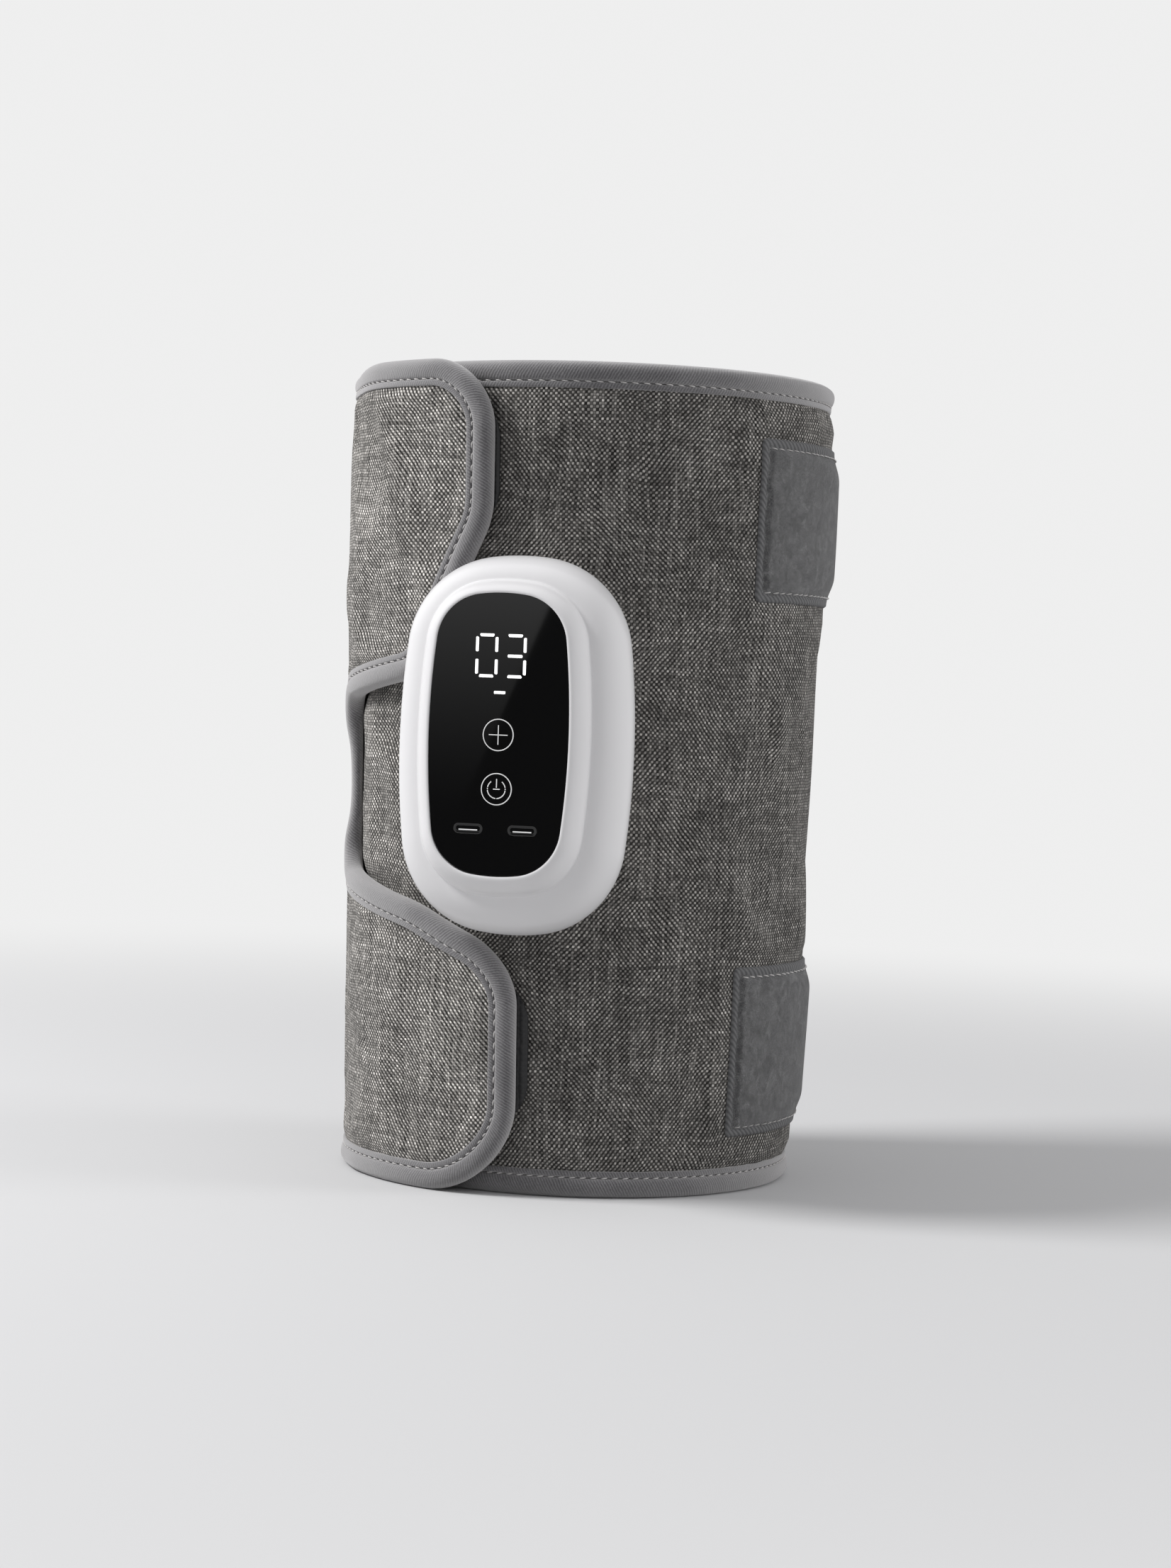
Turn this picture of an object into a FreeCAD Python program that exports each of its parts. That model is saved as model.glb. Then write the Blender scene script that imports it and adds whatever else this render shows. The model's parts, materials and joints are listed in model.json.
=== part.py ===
"""Air compression leg massager: a padded wrap that closes round a calf, with a pump controller on its front.

Millimetres. The leg runs along +Z through the origin, the wrap stands on z = 0 and the controller faces -Y.
Angles round the wrap are in degrees, counted from the front towards +X.
"""
import FreeCAD, Part

import math
import os
from types import SimpleNamespace

import Sketcher
from FreeCAD import Placement, Rotation, Vector

DRIVING_SIZES = {
    # Wrap: a tapered tube wound like a spiral, so that its closing panel lies over the front
    "wrap_height": 240.0,
    "top_radius": 70.45,
    "bottom_radius": 64.7,
    "back_growth": 3.5,
    "closure_growth": 0.6,
    "front_end_angle": -88.0,
    "front_seam_angle": 128.0,
    "back_seam_angle": 228.0,
    "tab_hinge_angle": 310.0,
    "longest_arc_angle": 80.0,
    "seam_gap": 0.5,
    "cut_overrun": 1.0,
    # Layers of the front and back panels, from the outside in
    "cover_thickness": 2.0,
    "padding_thickness": 1.7,
    "airbag_thickness": 3.0,
    "airbag_weld_thickness": 1.0,
    "airbag_weld_width": 7.0,
    "airbag_margin": 6.0,
    "heater_thickness": 0.6,
    "heater_height": 120.0,
    "heater_margin": 9.0,
    "lining_thickness": 1.5,
    "layer_gap": 0.3,
    # Bound edges: the fabric is drawn in and held in a folded tape
    "edge_draw": 2.2,
    "edge_slope": 8.5,
    "binding_width": 7.0,
    "binding_crown": 2.4,
    "end_binding_width": 5.0,
    "tape_thickness": 0.6,
    "tape_fit": 0.3,
    # Closing panel and its tabs, laid out flat on a plane that looks along the tab angle.
    # Rises and drops are counted from the middle of the controller
    "closure_cover_thickness": 1.6,
    "closure_lining_thickness": 1.4,
    "tab_flat_angle": 327.0,
    "tab_flat_start": 30.0,
    "tab_flat_depth": 70.0,
    "tab_tape_width": 6.5,
    "flat_margin": 70.0,
    "upper_reach": 31.6,
    "upper_corner_share": 0.4376,
    "upper_shoulder_rise": 64.3,
    "upper_shoulder_radius": 25.0,
    "notch_reach": 9.0,
    "notch_rise": 18.5,
    "notch_radius": 15.0,
    "lower_reach": 39.8,
    "lower_corner_share": 0.3885,
    "lower_shoulder_drop": 60.5,
    "lower_shoulder_radius": 22.0,
    "brow_reach": 8.0,
    "brow_drop": 47.0,
    "brow_radius": 60.0,
    "recess_reach": -38.0,
    "recess_rise": 10.6,
    "recess_drop": 38.5,
    "recess_radius": 9.0,
    "housing_clearance": 0.8,
    # Hook patches under the tabs and loop patches on the right side of the front panel
    "hook_thickness": 1.0,
    "hook_gap": 0.1,
    "hook_start": -12.0,
    "hook_corner_share": 0.3,
    "upper_hook_overhang": 0.5,
    "upper_hook_rim_gap": 12.0,
    "upper_hook_shoulder_gap": 2.3,
    "lower_hook_overhang": 2.4,
    "lower_hook_rim_gap": 19.5,
    "lower_hook_shoulder_gap": 6.0,
    "loop_thickness": 1.2,
    "loop_gap": 0.15,
    "loop_start_angle": 56.9,
    "loop_end_angle": 123.0,
    "upper_loop_rim_gap": 19.0,
    "upper_loop_height": 47.5,
    "lower_loop_rim_gap": 17.0,
    "lower_loop_height": 50.0,
    # Controller housing: an oval of side, end and corner arcs that narrows in two tiers towards its panel
    "controller_rise": 10.0,
    "housing_width": 68.6,
    "housing_length": 107.6,
    "housing_side_radius": 240.0,
    "housing_end_radius": 62.0,
    "housing_corner_radius": 28.0,
    "end_draw_share": 1.03,
    "foot_inset": 5.0,
    "foot_depth": 14.0,
    "parting_height": 9.5,
    "step_inset": 9.0,
    "step_height": 21.8,
    "lip_inset": 13.25,
    "lip_height": 27.9,
    "lip_width": 0.6,
    "panel_rise": 3.2,
    "shell_wall": 2.0,
    "saddle_gap": 0.3,
    # Black panel, set in the front shell on a ledge
    "panel_thickness": 2.0,
    "panel_drop": 0.2,
    "panel_fit": 0.15,
    "ledge_thickness": 2.0,
    "ledge_width": 5.9,
    # Keys: a cap in the panel, a flange that stops it and a stem over its switch
    "key_fit": 0.2,
    "key_travel": 0.5,
    "key_flange_thickness": 1.0,
    "key_flange_margin": 1.0,
    "key_stem_radius": 1.3,
    "key_stem_length": 0.6,
    "round_key_radius": 4.5,
    "pill_key_length": 8.0,
    "pill_key_height": 2.8,
    "plus_key_rise": 0.0,
    "power_key_rise": -15.1,
    "pill_key_rise": -26.4,
    "pill_key_spread": 7.9,
    # Main board with its display and switches
    "board_width": 33.0,
    "board_length": 68.0,
    "board_thickness": 1.6,
    "board_drop": 4.1,
    "board_boss_radius": 2.2,
    "board_screw_x": 13.5,
    "board_screw_z": 30.5,
    "switch_size": 3.6,
    "display_width": 19.0,
    "display_length": 21.0,
    "display_rise": 19.3,
    "display_gap": 0.4,
    "digit_rise": 22.0,
    "digit_height": 12.1,
    "digit_width": 7.1,
    "digit_spacing": 8.8,
    "segment_width": 1.15,
    "segment_thickness": 0.2,
    "dash_rise": 11.8,
    "dash_length": 3.3,
    "dash_height": 0.8,
    # Screws
    "screw_radius": 1.0,
    "screw_head_radius": 2.0,
    "screw_head_height": 1.2,
    "screw_fit": 0.15,
    "screw_bite": 5.0,
    "plate_screw_x": 13.0,
    "plate_screw_z": 40.0,
    "plate_boss_radius": 3.0,
    "plate_boss_top": 7.0,
    "case_screw_x": 20.0,
    "case_screw_z": 33.0,
    "case_post_radius": 2.75,
    "case_post_bottom": 6.2,
    "case_seat_height": 1.0,
    # Backing plate that clamps the housing to the fabric
    "plate_half_angle": 19.0,
    "plate_length": 96.0,
    "plate_fit": 0.5,
    # Battery
    "battery_width": 30.0,
    "battery_length": 38.0,
    "battery_thickness": 8.0,
    "battery_rise": 26.0,
    "battery_round": 2.0,
    "battery_gap": 0.3,
    # Diaphragm pump, upright in the lower half of the housing
    "pump_depth": 10.9,
    "motor_radius": 8.0,
    "motor_length": 19.0,
    "motor_bottom": -44.0,
    "motor_bore_depth": 10.5,
    "shaft_radius": 1.0,
    "shaft_fit": 0.1,
    "shaft_length": 14.0,
    "crank_radius": 4.0,
    "crank_height": 5.0,
    "crank_offset": 1.2,
    "crank_rise": 4.0,
    "head_radius": 8.25,
    "head_length": 14.0,
    "head_wall": 1.5,
    "diaphragm_thickness": 1.5,
    "cap_height": 3.0,
    "nipple_radius": 1.25,
    "nipple_length": 4.0,
    "nipple_x": 4.0,
    # Air path
    "hose_outer_radius": 2.1,
    "hose_fit": 0.1,
    "hose_bend_radius": 4.4,
    "hose_crossing_rise": 3.0,
    "manifold_x": 17.0,
    "manifold_width": 7.0,
    "manifold_length": 10.0,
    "manifold_depth": 11.0,
    "manifold_bottom": -17.5,
    "nozzle_radius": 2.6,
    "nozzle_bore": 1.4,
    "nozzle_fit": 0.4,
    "nozzle_entry": 2.0,
    "valve_radius": 4.5,
    "valve_wall": 1.2,
    "plunger_radius": 2.2,
    "plunger_length": 7.0,
    "plunger_travel": 1.2,
    "plunger_gap": 0.3,
    # Charging socket at the lower end
    "socket_width": 8.9,
    "socket_height": 3.2,
    "socket_length": 7.4,
    "socket_round": 1.4,
    "socket_wall": 0.35,
    "tongue_width": 6.4,
    "tongue_thickness": 0.7,
    "socket_fit": 0.3,
    "socket_depth": 9.4,
    "socket_recess": 1.2,
    "charge_board_width": 14.0,
    "charge_board_length": 5.8,
    "charge_board_thickness": 1.2,
    "charge_board_rise": -47.4,
}

# Profiles of the housing as shares of each tier's inset and height, from the parting line outwards
FOOT_PROFILE_SHARES = [(0.0, 0.0), (0.08, 0.16), (0.45, 0.50), (0.92, 0.90), (1.0, 1.0)]
LOWER_TIER_PROFILE_SHARES = [(0.0, 0.0), (0.05, 0.30), (0.28, 0.68), (0.62, 0.91), (1.0, 1.0)]
UPPER_TIER_PROFILE_SHARES = [(0.14, 0.30), (0.42, 0.68), (0.78, 0.93), (1.0, 1.0)]

# Rounded rim of a folded tape: distance from the rim and draw-in, as shares of its crown and thickness
RIM_PROFILE_SHARES = [(1.0, 0.0), (0.3, 0.16), (0.0, 0.30)]

# An edge counts as straight along an axis when this share of its length lies along it
STRAIGHT_SHARE = 0.999

document = FreeCAD.newDocument("leg_massager")
sheet = document.addObject("Spreadsheet::Sheet", "sizes")
for row, (alias, value) in enumerate(DRIVING_SIZES.items(), start=1):
    sheet.set(f"A{row}", alias)
    sheet.set(f"B{row}", str(value))
    sheet.setAlias(f"B{row}", alias)
document.recompute()
s = SimpleNamespace(**{alias: float(sheet.get(alias)) for alias in DRIVING_SIZES})

UP = Vector(0, 0, 1)
OUT = Vector(0, -1, 0)
subparts = []


def add_shape(label, shape):
    """A sub-part whose shape is worked out here from the sheet's sizes."""
    feature = document.addObject("Part::Feature", label)
    feature.Label = label
    feature.Shape = shape
    feature.Placement = Placement()
    subparts.append(feature)
    return feature


# Spiral of the wrap

def outward(angle):
    """Unit vector that points out of the wrap at an angle."""
    turn = math.radians(angle)
    return Vector(math.sin(turn), -math.cos(turn), 0)


def along(angle):
    """Unit vector along the wrap, towards larger angles."""
    turn = math.radians(angle)
    return Vector(math.cos(turn), math.sin(turn), 0)


def main_radius(z):
    """Outer radius of the front panel at a height."""
    return s.bottom_radius + (s.top_radius - s.bottom_radius) * z / s.wrap_height


def angle_of(length):
    """Angle that a length takes up along the wrap at half its height."""
    return math.degrees(length / main_radius(s.wrap_height / 2))


def spiral_point(angle, z, depth):
    """Point of the spiral, a depth below its outer face. Each seam starts a larger, tangent arc."""
    radius = main_radius(z) - depth
    centre = Vector(0, 0, z)
    for seam, growth in ((s.front_seam_angle, s.back_growth), (s.back_seam_angle, s.closure_growth)):
        if angle > seam:
            radius += growth
            centre -= outward(seam) * growth
    return centre + outward(angle) * radius


def arc_stops(start, end):
    """Angles where the arcs of a panel meet: its ends, the seams and even steps between them."""
    corners = [start]
    corners += [seam for seam in (s.front_seam_angle, s.back_seam_angle) if start < seam < end]
    corners += [end]
    stops = [start]
    for first, last in zip(corners, corners[1:]):
        count = math.ceil((last - first) / s.longest_arc_angle)
        stops += [first + (last - first) * step / count for step in range(1, count + 1)]
    return stops


def arc_edges(stops, z, depth):
    """Arcs through the spiral at one height and depth."""
    edges = []
    for first, last in zip(stops, stops[1:]):
        angles = (first, (first + last) / 2, last)
        edges.append(Part.Arc(*[spiral_point(angle, z, depth) for angle in angles]).toShape())
    return edges


def panel(start, end, stations):
    """Curved panel between two angles. Each station is a height with an outer and an inner depth."""
    stops = arc_stops(start, end)
    wires = []
    for z, outer, inner in stations:
        edges = arc_edges(stops, z, outer)
        edges.append(Part.makeLine(spiral_point(end, z, outer), spiral_point(end, z, inner)))
        edges += arc_edges(stops[::-1], z, inner)
        edges.append(Part.makeLine(spiral_point(start, z, inner), spiral_point(start, z, outer)))
        wires.append(Part.Wire(edges))
    return Part.makeLoft(wires, True, True)


def both_ends(stations):
    """Stations given from the bottom rim up, followed by the same ones from the top rim down."""
    return stations + [(s.wrap_height - z, outer, inner) for z, outer, inner in reversed(stations)]


def folded_tape(start, end, outer, inner, at_top):
    """Tape folded over a rim: a U with a rounded back, open towards the middle of the wrap."""
    thickness = inner - outer
    stations = [(s.binding_width, outer, inner)]
    for rise_share, draw_share in RIM_PROFILE_SHARES:
        draw = draw_share * thickness
        stations.append((rise_share * s.binding_crown, outer + draw, inner - draw))
    slot_outer = outer + s.tape_thickness
    slot_inner = inner - s.tape_thickness
    slot = [(s.binding_width + s.cut_overrun, slot_outer, slot_inner)]
    slot.append((s.binding_crown, slot_outer, slot_inner))
    if at_top:
        stations = [(s.wrap_height - z, near, far) for z, near, far in stations]
        slot = [(s.wrap_height - z, near, far) for z, near, far in slot]
    margin = angle_of(s.cut_overrun)
    return panel(start, end, stations).cut(panel(start - margin, end + margin, slot))


# Depths below the outer face
padding_outer = s.cover_thickness + s.layer_gap
padding_inner = padding_outer + s.padding_thickness
airbag_outer = padding_inner + s.layer_gap
airbag_inner = airbag_outer + s.airbag_thickness
heater_outer = airbag_inner + s.layer_gap
lining_outer = heater_outer + s.heater_thickness + s.layer_gap
wall_depth = lining_outer + s.lining_thickness
edge_cover_inner = s.edge_draw + s.cover_thickness
edge_lining_outer = edge_cover_inner + s.layer_gap
edge_inner = edge_lining_outer + s.lining_thickness

# Heights above a rim
fabric_edge = s.binding_crown + s.tape_fit
tape_mouth = s.binding_width + s.tape_fit
full_height = tape_mouth + s.edge_slope


def bound_layer(start, end, edge_depths, full_depths):
    """Layer of a panel that is drawn in at both rims and full between them."""
    rims = [(fabric_edge, *edge_depths), (tape_mouth, *edge_depths), (full_height, *full_depths)]
    return panel(start, end, both_ends(rims))


def airbag(start, end):
    """Air bag with a flat welded edge and a full middle."""
    margin = angle_of(s.airbag_margin)
    middle = (airbag_outer + airbag_inner) / 2
    weld = s.airbag_weld_thickness / 2
    low = full_height + s.airbag_margin
    rims = [(low, middle - weld, middle + weld)]
    rims.append((low + s.airbag_weld_width, airbag_outer, airbag_inner))
    return panel(start + margin, end - margin, both_ends(rims))


# Controller frame: x across, height out of the fabric, z from the middle of the housing

controller_z = s.wrap_height / 2 + s.controller_rise
mount_radius = main_radius(controller_z)


def controller_point(x, height, z):
    """Point given in the controller's own frame."""
    return Vector(x, -(mount_radius + height), controller_z + z)


def pin(x, z, bottom, top, radius):
    """Plain round solid along the controller's depth."""
    return Part.makeCylinder(radius, top - bottom, controller_point(x, bottom, z), OUT)


def four_places(x, z, rise=0):
    """Places mirrored across and along the controller."""
    return [(side * x, rise + end * z) for side in (-1, 1) for end in (-1, 1)]


def oval_wire(inset, height):
    """Oval of eight tangent arcs at one height, drawn in from the parting line by an inset."""
    half_width = s.housing_width / 2 - inset
    half_length = s.housing_length / 2 - s.end_draw_share * inset
    side_radius = s.housing_side_radius - inset
    end_radius = s.housing_end_radius - inset
    corner_radius = s.housing_corner_radius - inset
    rise = s.panel_rise * max(inset, 0) / s.lip_inset
    if height < s.parting_height:
        rise = 0
    side_centre = Vector(half_width - side_radius, 0, 0)
    end_centre = Vector(0, half_length - end_radius, 0)
    span = end_centre - side_centre
    near = side_radius - corner_radius
    far = end_radius - corner_radius
    step = (near * near - far * far + span.Length * span.Length) / (2 * span.Length)
    lift = math.sqrt(near * near - step * step)
    way = Vector(span).normalize()
    corner = side_centre + way * step + Vector(-way.y, way.x, 0) * lift
    if corner.y < 0:
        corner = side_centre + way * step - Vector(-way.y, way.x, 0) * lift
    side_way = (corner - side_centre).normalize()
    end_way = (corner - end_centre).normalize()
    side_point = corner + side_way * corner_radius
    corner_point = corner + (side_way + end_way).normalize() * corner_radius
    end_point = corner + end_way * corner_radius
    side_middle = Vector(half_width, 0, 0)
    end_middle = Vector(0, half_length, 0)
    stops = [
        (side_point, 1, -1), (side_middle, 1, 1), (side_point, 1, 1), (corner_point, 1, 1),
        (end_point, 1, 1), (end_middle, 1, 1), (end_point, -1, 1), (corner_point, -1, 1),
        (side_point, -1, 1), (side_middle, -1, 1), (side_point, -1, -1), (corner_point, -1, -1),
        (end_point, -1, -1), (end_middle, 1, -1), (end_point, 1, -1), (corner_point, 1, -1),
        (side_point, 1, -1),
    ]
    points = [controller_point(across * point.x, height, rise + lengthwise * point.y)
              for point, across, lengthwise in stops]
    return Part.Wire([Part.Arc(*points[i:i + 3]).toShape() for i in range(0, len(points) - 1, 2)])


def oval_loft(profile):
    """Solid through ovals, given as inset and height."""
    return Part.makeLoft([oval_wire(inset, height) for inset, height in profile], True, True)


def oval_prism(inset, bottom, top):
    """Straight oval solid between two heights."""
    return Part.Face(oval_wire(inset, bottom)).extrude(OUT * (top - bottom))


plate_places = four_places(s.plate_screw_x, s.plate_screw_z)
case_places = four_places(s.case_screw_x, s.case_screw_z)
board_places = four_places(s.board_screw_x, s.board_screw_z, s.panel_rise)

panel_back = s.lip_height - s.panel_drop - s.panel_thickness
ledge_bottom = panel_back - s.ledge_thickness
board_front = panel_back - s.board_drop
board_back = board_front - s.board_thickness
screw_hole_radius = s.screw_radius + s.screw_fit
manifold_bottom_height = s.pump_depth - s.manifold_depth / 2
nozzle_z = s.manifold_bottom + s.manifold_length / 2
nozzle_hole_radius = s.nozzle_radius + s.nozzle_fit


def fabric_holes(bottom, top):
    """Holes through the fabric layers for the plate screws and the air nozzle."""
    holes = [pin(x, z, bottom, top, screw_hole_radius) for x, z in plate_places]
    holes.append(pin(s.manifold_x, nozzle_z, bottom, top, nozzle_hole_radius))
    return Part.makeCompound(holes)


through_fabric = fabric_holes(-s.plate_boss_top - wall_depth, s.plate_boss_top)

# Front panel
front_start = s.front_end_angle
front_inner_start = front_start + angle_of(s.end_binding_width)
front_end = s.front_seam_angle - angle_of(s.seam_gap / 2)
cover_edge = (s.edge_draw, edge_cover_inner)
cover_full = (0, s.cover_thickness)
lining_edge = (edge_lining_outer, edge_inner)
lining_full = (lining_outer, wall_depth)
tape_outer = s.edge_draw - s.tape_fit - s.tape_thickness
tape_inner = edge_inner + s.tape_fit + s.tape_thickness
end_binding_stop = front_inner_start - angle_of(s.layer_gap)

front_cover = bound_layer(front_inner_start, front_end, cover_edge, cover_full)
add_shape("front_cover", front_cover.cut(through_fabric))

padding_heights = [full_height + s.layer_gap, s.wrap_height - full_height - s.layer_gap]
plate_half_angle = s.plate_half_angle + angle_of(s.plate_fit)
plate_low = controller_z - s.plate_length / 2
plate_high = controller_z + s.plate_length / 2
padding_stations = [(z, padding_outer, padding_inner) for z in padding_heights]
plate_opening = panel(-plate_half_angle, plate_half_angle,
                      [(z, padding_outer - s.cut_overrun, padding_inner + s.cut_overrun)
                       for z in (plate_low - s.plate_fit, plate_high + s.plate_fit)])
add_shape("front_padding", panel(front_inner_start, front_end, padding_stations).cut(plate_opening))
add_shape("front_airbag", airbag(front_inner_start, front_end))
add_shape("front_lining", bound_layer(front_inner_start, front_end, lining_edge, lining_full))
add_shape("front_top_binding", folded_tape(front_start, front_end, tape_outer, tape_inner, True))
add_shape("front_bottom_binding", folded_tape(front_start, front_end, tape_outer, tape_inner, False))
add_shape("front_end_binding", bound_layer(front_start, end_binding_stop, (s.edge_draw, edge_inner),
                                           (0, wall_depth)))


def loop_patch(low, height):
    """Flat patch sewn on the outer face of the front panel."""
    depths = (-s.loop_gap - s.loop_thickness, -s.loop_gap)
    return panel(s.loop_start_angle, s.loop_end_angle, [(low, *depths), (low + height, *depths)])


upper_loop_bottom = s.wrap_height - s.upper_loop_rim_gap - s.upper_loop_height
add_shape("upper_loop_patch", loop_patch(upper_loop_bottom, s.upper_loop_height))
add_shape("lower_loop_patch", loop_patch(s.lower_loop_rim_gap, s.lower_loop_height))

# Back panel, with the heating film behind its lining
back_start = s.front_seam_angle + angle_of(s.seam_gap / 2)
back_end = s.back_seam_angle - angle_of(s.seam_gap / 2)
heater_low = (s.wrap_height - s.heater_height) / 2
heater_depths = (heater_outer, heater_outer + s.heater_thickness)
heater_margin = angle_of(s.heater_margin)
heater_stations = [(heater_low, *heater_depths), (s.wrap_height - heater_low, *heater_depths)]
add_shape("back_cover", bound_layer(back_start, back_end, cover_edge, cover_full))
add_shape("back_padding", panel(back_start, back_end, padding_stations))
add_shape("back_airbag", airbag(back_start, back_end))
add_shape("heating_pad", panel(back_start + heater_margin, back_end - heater_margin, heater_stations))
add_shape("back_lining", bound_layer(back_start, back_end, lining_edge, lining_full))
add_shape("back_top_binding", folded_tape(back_start, back_end, tape_outer, tape_inner, True))
add_shape("back_bottom_binding", folded_tape(back_start, back_end, tape_outer, tape_inner, False))


# Closing panel and tabs, cut to outlines on a flat plane

def flat_point(reach, z):
    """Point of the flat plane that the tabs are drawn on."""
    return outward(s.tab_flat_angle) * s.tab_flat_start + along(s.tab_flat_angle) * reach + UP * z


def rounded_prism(corners, inset):
    """Solid through the wrap over a rounded outline, moved inwards by an inset.

    Corners are reach, height and radius, anticlockwise. Arcs keep their centres when the outline moves.
    """
    points = [Vector(reach, z, 0) for reach, z, radius in corners]
    count = len(points)
    ways = [(points[(i + 1) % count] - points[i]).normalize() for i in range(count)]
    lefts = [Vector(-way.y, way.x, 0) for way in ways]
    edges = []
    bends = []
    for i in range(count):
        before = ways[i - 1]
        after = ways[i]
        turn = math.atan2(before.x * after.y - before.y * after.x, before.dot(after))
        half = turn / 2
        side = (lefts[i - 1] + lefts[i]).normalize()
        corner = points[i] + side * (inset / math.cos(half))
        radius = max(corners[i][2] - math.copysign(inset, turn), 0)
        reach = radius * math.tan(abs(half))
        middle = corner + side * math.copysign(radius / math.cos(half) - radius, turn)
        places = (corner - before * reach, middle, corner + after * reach)
        bends.append((radius, [flat_point(place.x, place.y) for place in places]))
    for i in range(count):
        radius, arc = bends[i]
        next_arc = bends[(i + 1) % count][1]
        if radius > 0:
            edges.append(Part.Arc(*arc).toShape())
        edges.append(Part.makeLine(arc[-1], next_arc[0]))
    face = Part.Face(Part.Wire(edges))
    return face.extrude(outward(s.tab_flat_angle) * s.tab_flat_depth)


def line_height(reach, first, last):
    """Height at a reach on the straight line through two points of the flat plane."""
    return first[1] + (reach - first[0]) * (last[1] - first[1]) / (last[0] - first[0])


upper_shoulder_z = controller_z + s.upper_shoulder_rise
lower_shoulder_z = controller_z - s.lower_shoulder_drop
recess_top = controller_z + s.recess_rise
recess_bottom = controller_z - s.recess_drop
notch = (s.notch_reach, controller_z + s.notch_rise)
brow = (s.brow_reach, controller_z - s.brow_drop)
recess_upper = (s.recess_reach, recess_top)
recess_lower = (s.recess_reach, recess_bottom)
upper_outline = [
    (*notch, s.notch_radius),
    (s.upper_reach, upper_shoulder_z, s.upper_shoulder_radius),
    (s.upper_reach, s.wrap_height, s.upper_corner_share * (s.wrap_height - upper_shoulder_z)),
    (-s.flat_margin, s.wrap_height, 0),
    (-s.flat_margin, line_height(-s.flat_margin, notch, recess_upper), 0),
]
lower_outline = [
    (s.lower_reach, lower_shoulder_z, s.lower_shoulder_radius),
    (*brow, s.brow_radius),
    (-s.flat_margin, line_height(-s.flat_margin, brow, recess_lower), 0),
    (-s.flat_margin, 0, 0),
    (s.lower_reach, 0, s.lower_corner_share * lower_shoulder_z),
]
recess_outline = [
    (*recess_upper, s.recess_radius),
    (*recess_lower, s.recess_radius),
    (*brow, 0),
    (*notch, 0),
]

closure_start = s.back_seam_angle + angle_of(s.seam_gap / 2)
closure_end = s.tab_hinge_angle - angle_of(s.seam_gap / 2)
tab_start = s.tab_hinge_angle + angle_of(s.seam_gap / 2)
tab_end = s.tab_flat_angle + math.degrees(math.asin(
    (s.lower_reach + s.lower_hook_overhang + s.cut_overrun) / s.bottom_radius))
closure_outer = s.tape_thickness + s.tape_fit
closure_cover_inner = closure_outer + s.closure_cover_thickness
closure_lining_outer = closure_cover_inner + s.layer_gap
closure_inner = closure_lining_outer + s.closure_lining_thickness
closure_tape_inner = closure_inner + s.tape_fit + s.tape_thickness
slot_depths = (s.tape_thickness, closure_tape_inner - s.tape_thickness)


def full_panel(start, end, depths, rim):
    """Panel of even thickness between two rims."""
    return panel(start, end, [(rim, *depths), (s.wrap_height - rim, *depths)])


recess_cut = rounded_prism(recess_outline, -fabric_edge)
add_shape("closure_cover", full_panel(closure_start, closure_end, (closure_outer, closure_cover_inner),
                                      fabric_edge).cut(recess_cut))
add_shape("closure_lining", full_panel(closure_start, closure_end, (closure_lining_outer, closure_inner),
                                       fabric_edge).cut(recess_cut))
add_shape("closure_top_binding", folded_tape(closure_start, closure_end, 0, closure_tape_inner, True))
add_shape("closure_bottom_binding", folded_tape(closure_start, closure_end, 0, closure_tape_inner, False))

recess_tape = panel(closure_start, closure_end, [(recess_bottom - s.recess_radius * 2, 0, closure_tape_inner),
                                                 (recess_top + s.recess_radius * 2, 0, closure_tape_inner)])
recess_tape = recess_tape.common(rounded_prism(recess_outline, -s.tab_tape_width))
recess_tape = recess_tape.cut(rounded_prism(recess_outline, 0))
margin = angle_of(s.cut_overrun)
slot = full_panel(closure_start - margin, closure_end + margin, slot_depths, 0)
add_shape("recess_binding", recess_tape.cut(slot.cut(rounded_prism(recess_outline, -s.binding_crown))))


def tab(label, outline, hook_outline):
    """Fabric tab with a tape folded round its free edge and a hook patch on its inner face."""
    body = full_panel(tab_start, tab_end, (closure_outer, closure_inner), 0)
    add_shape(label, body.common(rounded_prism(outline, fabric_edge)).cut(housing_room))
    band = full_panel(tab_start, tab_end, (0, closure_tape_inner), 0).common(rounded_prism(outline, 0))
    band = band.cut(rounded_prism(outline, s.tab_tape_width))
    margin = angle_of(s.cut_overrun)
    inner_slot = full_panel(tab_start - margin, tab_end + margin, slot_depths, 0)
    band = band.cut(inner_slot.common(rounded_prism(outline, s.binding_crown)))
    add_shape(f"{label}_binding", band.cut(housing_room))
    hook_outer = closure_tape_inner + s.hook_gap
    patch = full_panel(tab_start, tab_end, (hook_outer, hook_outer + s.hook_thickness), 0)
    patch = patch.common(rounded_prism(hook_outline, 0))
    add_shape(f"{label.replace('tab', 'hook')}_patch", patch.cut(housing_room))


def hook_outline(reach, low, high):
    """Rounded patch up to a reach, which lies a little past the end of its tab."""
    radius = s.hook_corner_share * (high - low)
    corners = [(s.hook_start, low), (reach, low), (reach, high), (s.hook_start, high)]
    return [(*corner, radius) for corner in corners]


housing_room = oval_prism(-s.housing_clearance, -s.foot_depth, s.lip_height)
tab("upper_tab", upper_outline,
    hook_outline(s.upper_reach + s.upper_hook_overhang, upper_shoulder_z - s.upper_hook_shoulder_gap,
                 s.wrap_height - s.upper_hook_rim_gap))
tab("lower_tab", lower_outline,
    hook_outline(s.lower_reach + s.lower_hook_overhang, s.lower_hook_rim_gap,
                 lower_shoulder_z - s.lower_hook_shoulder_gap))


# Controller housing

def tier_profile(shares, first, last):
    """Points of one tier between two corners, each an inset and a height."""
    return [(first[0] + across * (last[0] - first[0]), first[1] + rise * (last[1] - first[1]))
            for across, rise in shares]


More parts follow.
